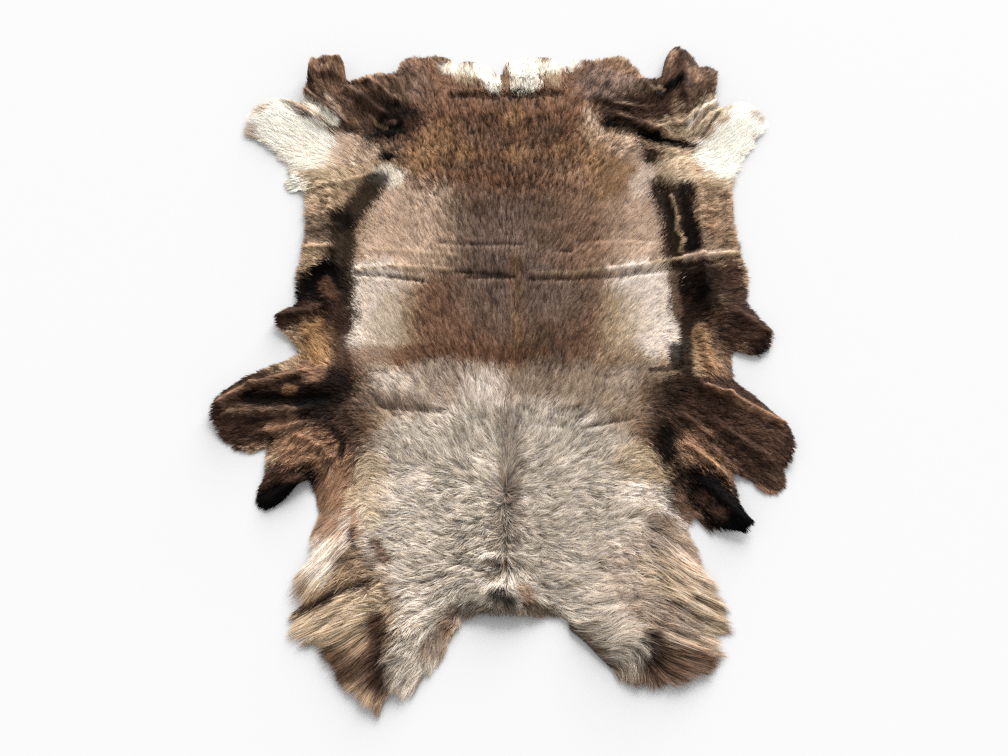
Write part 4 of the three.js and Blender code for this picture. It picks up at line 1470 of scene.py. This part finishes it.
coats = []
for order, layer in enumerate(LAYERS):
    x, y = planted(layer.spacing * MM, PLACE_SEED + order)
    short = kind_at(x, y)[0] < LONG_LENGTH
    x, y = x[short], y[short]
    draws = np.random.default_rng(LEVEL_SEED + order)
    tip_level = layer.tip_level + LEVEL_SPREAD * draws.normal(size=len(x))
    coats.append(grown(layer, x, y, tip_level, TUFT_SIZE, draws, order))

# %% The long locks
LOCKS = Layer("coat_long_locks", 1.65, 5, 0, 1.1, 1.4)
LOCK_SIZE = 22 * MM
LOCK_ORDER = 20

x, y = planted(LOCKS.spacing * MM, PLACE_SEED + LOCK_ORDER)
long = kind_at(x, y)[0] >= LONG_LENGTH
x, y = x[long], y[long]
draws = np.random.default_rng(LEVEL_SEED + LOCK_ORDER)
tip_level = LOCKS.tip_level * np.sqrt(draws.random(len(x)))
coats.append(grown(LOCKS, x, y, tip_level, LOCK_SIZE, draws, LOCK_ORDER))

# %% [markdown]
# ## Finishes
#
# Hair takes its colour from the marks above, stored at each corner. The material then
# shades it from a dark root, where little light reaches, to a light tip, breaks it up with
# a fine noise, holds back its lightest parts and leaves it nearly matt. The skin's
# underside is pale suede leather, and its upper face, seen only down a parting, is
# underwool, darkened below the coat's colour as painted shade deep in the coat.

# %% Helpers for materials
HOLD_BACK = 0.36


def new_material(name):
    """An empty material, its nodes and links, and its shader."""
    material = bpy.data.materials.new(name)
    material.use_nodes = True
    nodes, links = material.node_tree.nodes, material.node_tree.links
    shader = nodes["Principled BSDF"]
    return material, nodes, links, shader


def add_stored(nodes, name):
    """A node that reads what a mesh stores under a name."""
    stored = nodes.new("ShaderNodeAttribute")
    stored.attribute_name = name
    return stored


def add_noise(nodes, links, size, detail):
    """Noise on the object's own coordinates, with bumps of the given size in metres."""
    place = nodes.new("ShaderNodeTexCoord")
    noise = nodes.new("ShaderNodeTexNoise")
    noise.inputs["Scale"].default_value = 1 / size
    noise.inputs["Detail"].default_value = detail
    links.new(place.outputs["Object"], noise.inputs["Vector"])
    return noise.outputs["Fac"]


def add_range(nodes, links, source, least, most):
    """Stretches a value from 0 to 1 so that it runs from least to most."""
    stretch = nodes.new("ShaderNodeMapRange")
    stretch.inputs["To Min"].default_value = least
    stretch.inputs["To Max"].default_value = most
    links.new(source, stretch.inputs["Value"])
    return stretch.outputs["Result"]


def add_multiply(nodes, links, colour, factor):
    """A colour made lighter or darker by a factor."""
    scale = nodes.new("ShaderNodeVectorMath")
    scale.operation = "SCALE"
    links.new(colour, scale.inputs[0])
    links.new(factor, scale.inputs["Scale"])
    return scale.outputs["Vector"]


def add_soft_limit(nodes, links, colour):
    """Holds back the lightest parts, and leaves the dark ones as they are."""
    below = nodes.new("ShaderNodeVectorMath")
    below.operation = "MULTIPLY_ADD"
    below.inputs[1].default_value = (HOLD_BACK, HOLD_BACK, HOLD_BACK)
    below.inputs[2].default_value = (1, 1, 1)
    links.new(colour, below.inputs[0])
    ratio = nodes.new("ShaderNodeVectorMath")
    ratio.operation = "DIVIDE"
    links.new(colour, ratio.inputs[0])
    links.new(below.outputs["Vector"], ratio.inputs[1])
    return ratio.outputs["Vector"]


def add_bump(nodes, links, shader, height, depth, strength):
    """Bump of a given depth in metres."""
    bump = nodes.new("ShaderNodeBump")
    bump.inputs["Distance"].default_value = depth
    bump.inputs["Strength"].default_value = strength
    links.new(height, bump.inputs["Height"])
    links.new(bump.outputs["Normal"], shader.inputs["Normal"])


# %% Hair
ROOT_SHADE = 0.34
TIP_SHADE = 1.57
FLECK_SIZE = 1.5 * MM
FLECK_DEPTH = 0.4 * MM


def hair_material():
    """Hair, dark at its root and light at its tip, in the colour stored at each corner."""
    material, nodes, links, shader = new_material("reindeer_hair")
    colour = add_stored(nodes, "coat_colour").outputs["Color"]
    along = add_stored(nodes, "along").outputs["Fac"]
    fleck = add_noise(nodes, links, FLECK_SIZE, detail=3)
    shade = add_range(nodes, links, along, ROOT_SHADE, TIP_SHADE)
    toned = add_multiply(nodes, links, colour, shade)
    flecked = add_range(nodes, links, fleck, least=0.8, most=1.2)
    tinted = add_multiply(nodes, links, toned, flecked)
    rough = add_range(nodes, links, fleck, least=0.5, most=0.7)
    links.new(add_soft_limit(nodes, links, tinted), shader.inputs["Base Color"])
    links.new(rough, shader.inputs["Roughness"])
    add_bump(nodes, links, shader, fleck, FLECK_DEPTH, strength=0.5)
    shader.inputs["Specular IOR Level"].default_value = 0.03
    return material


# %% Suede and underwool
# The underwool takes the coat's colour darkened to these shares, as painted shade deep in the
# coat.
WOOL_SHADE_LEAST = 0.312
WOOL_SHADE_MOST = 0.728
CURL_SIZE = 2 * MM
CURL_DEPTH = 1 * MM
CLOUD_SIZE = 60 * MM
GRAIN_SIZE = 0.8 * MM
GRAIN_DEPTH = 0.3 * MM
SUEDE_TINTS = {0.35: linear(196, 176, 148), 0.7: linear(228, 214, 190)}  # by the cloud's value


def underwool_material():
    """Dense dull wool under the coat, darker than the coat above it as painted shade."""
    material, nodes, links, shader = new_material("underwool")
    colour = add_stored(nodes, "coat_colour").outputs["Color"]
    curl = add_noise(nodes, links, CURL_SIZE, detail=4)
    shade = add_range(nodes, links, curl, WOOL_SHADE_LEAST, WOOL_SHADE_MOST)
    links.new(add_multiply(nodes, links, colour, shade), shader.inputs["Base Color"])
    shader.inputs["Roughness"].default_value = 0.9
    shader.inputs["Specular IOR Level"].default_value = 0.05
    add_bump(nodes, links, shader, curl, CURL_DEPTH, strength=0.8)
    return material


def suede_material():
    """Pale tanned leather with a slow cloud of tints and a fine nap."""
    material, nodes, links, shader = new_material("suede_underside")
    cloud = add_noise(nodes, links, CLOUD_SIZE, detail=4)
    grain = add_noise(nodes, links, GRAIN_SIZE, detail=3)
    tint = nodes.new("ShaderNodeValToRGB")
    for stop, (position, colour) in zip(tint.color_ramp.elements, SUEDE_TINTS.items()):
        stop.position = position
        stop.color = (*colour, 1)
    links.new(cloud, tint.inputs["Fac"])
    speck = add_range(nodes, links, grain, least=0.88, most=1.08)
    tinted = add_multiply(nodes, links, tint.outputs["Color"], speck)
    links.new(tinted, shader.inputs["Base Color"])
    rough = add_range(nodes, links, grain, least=0.75, most=0.95)
    links.new(rough, shader.inputs["Roughness"])
    add_bump(nodes, links, shader, grain, GRAIN_DEPTH, strength=0.6)
    return material


hair = hair_material()
for coat in coats:
    coat.data.materials.append(hair)
skin.data.materials.append(underwool_material())
skin.data.materials.append(suede_material())
print("materials:", [m.name for m in bpy.data.materials])

# %% [markdown]
# ## What belongs to what
#
# The hide is one body, so the skin and every layer of its coat ride on it. The skin stands
# for the frame's solid.

# %% Riding and replacing
for piece in [skin, *coats]:
    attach(piece, "root")
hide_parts("hide")

# %% [markdown]
# ## Floor and light
#
# The floor is a plain pale sheet that reaches past every edge of the view. A wide sun
# stands low on the rump side, so the hide's edges throw a soft shade towards the neck, and
# pale light from all round fills in the rest.

# %% Floor, sun and surroundings
FLOOR_SIZE = 40
SUN_HEADING = (-0.3, -1, -0.46)
SUN_WIDTH = math.radians(48)
SUN_STRENGTH = 8.0
SUN_PLACE = (0, 2, 2)
SKY_STRENGTH = 0.84
FLOOR_TONE = (0.515, 0.515, 0.515, 1)

bpy.ops.object.select_all(action="DESELECT")
bpy.ops.mesh.primitive_plane_add(size=FLOOR_SIZE)
floor = bpy.context.object
floor.name = "floor"
floor_material, _, _, floor_shader = new_material("pale_floor")
floor_shader.inputs["Base Color"].default_value = FLOOR_TONE
floor_shader.inputs["Roughness"].default_value = 0.9
floor_shader.inputs["Specular IOR Level"].default_value = 0.1
floor.data.materials.append(floor_material)

turn = Vector(SUN_HEADING).to_track_quat("-Z", "Y").to_euler()
bpy.ops.object.light_add(type="SUN", location=SUN_PLACE, rotation=turn)
sun = bpy.context.object
sun.name = "sun"
sun.data.angle = SUN_WIDTH
sun.data.energy = SUN_STRENGTH

surroundings = bpy.data.worlds.new("surroundings")
surroundings.use_nodes = True
sky = surroundings.node_tree.nodes["Background"]
sky.inputs["Color"].default_value = (1, 1, 1, 1)
sky.inputs["Strength"].default_value = SKY_STRENGTH
bpy.context.scene.world = surroundings
bpy.context.scene.view_settings.view_transform = "Standard"
bpy.context.scene.cycles.use_denoising = False
print("sun heading", SUN_HEADING)
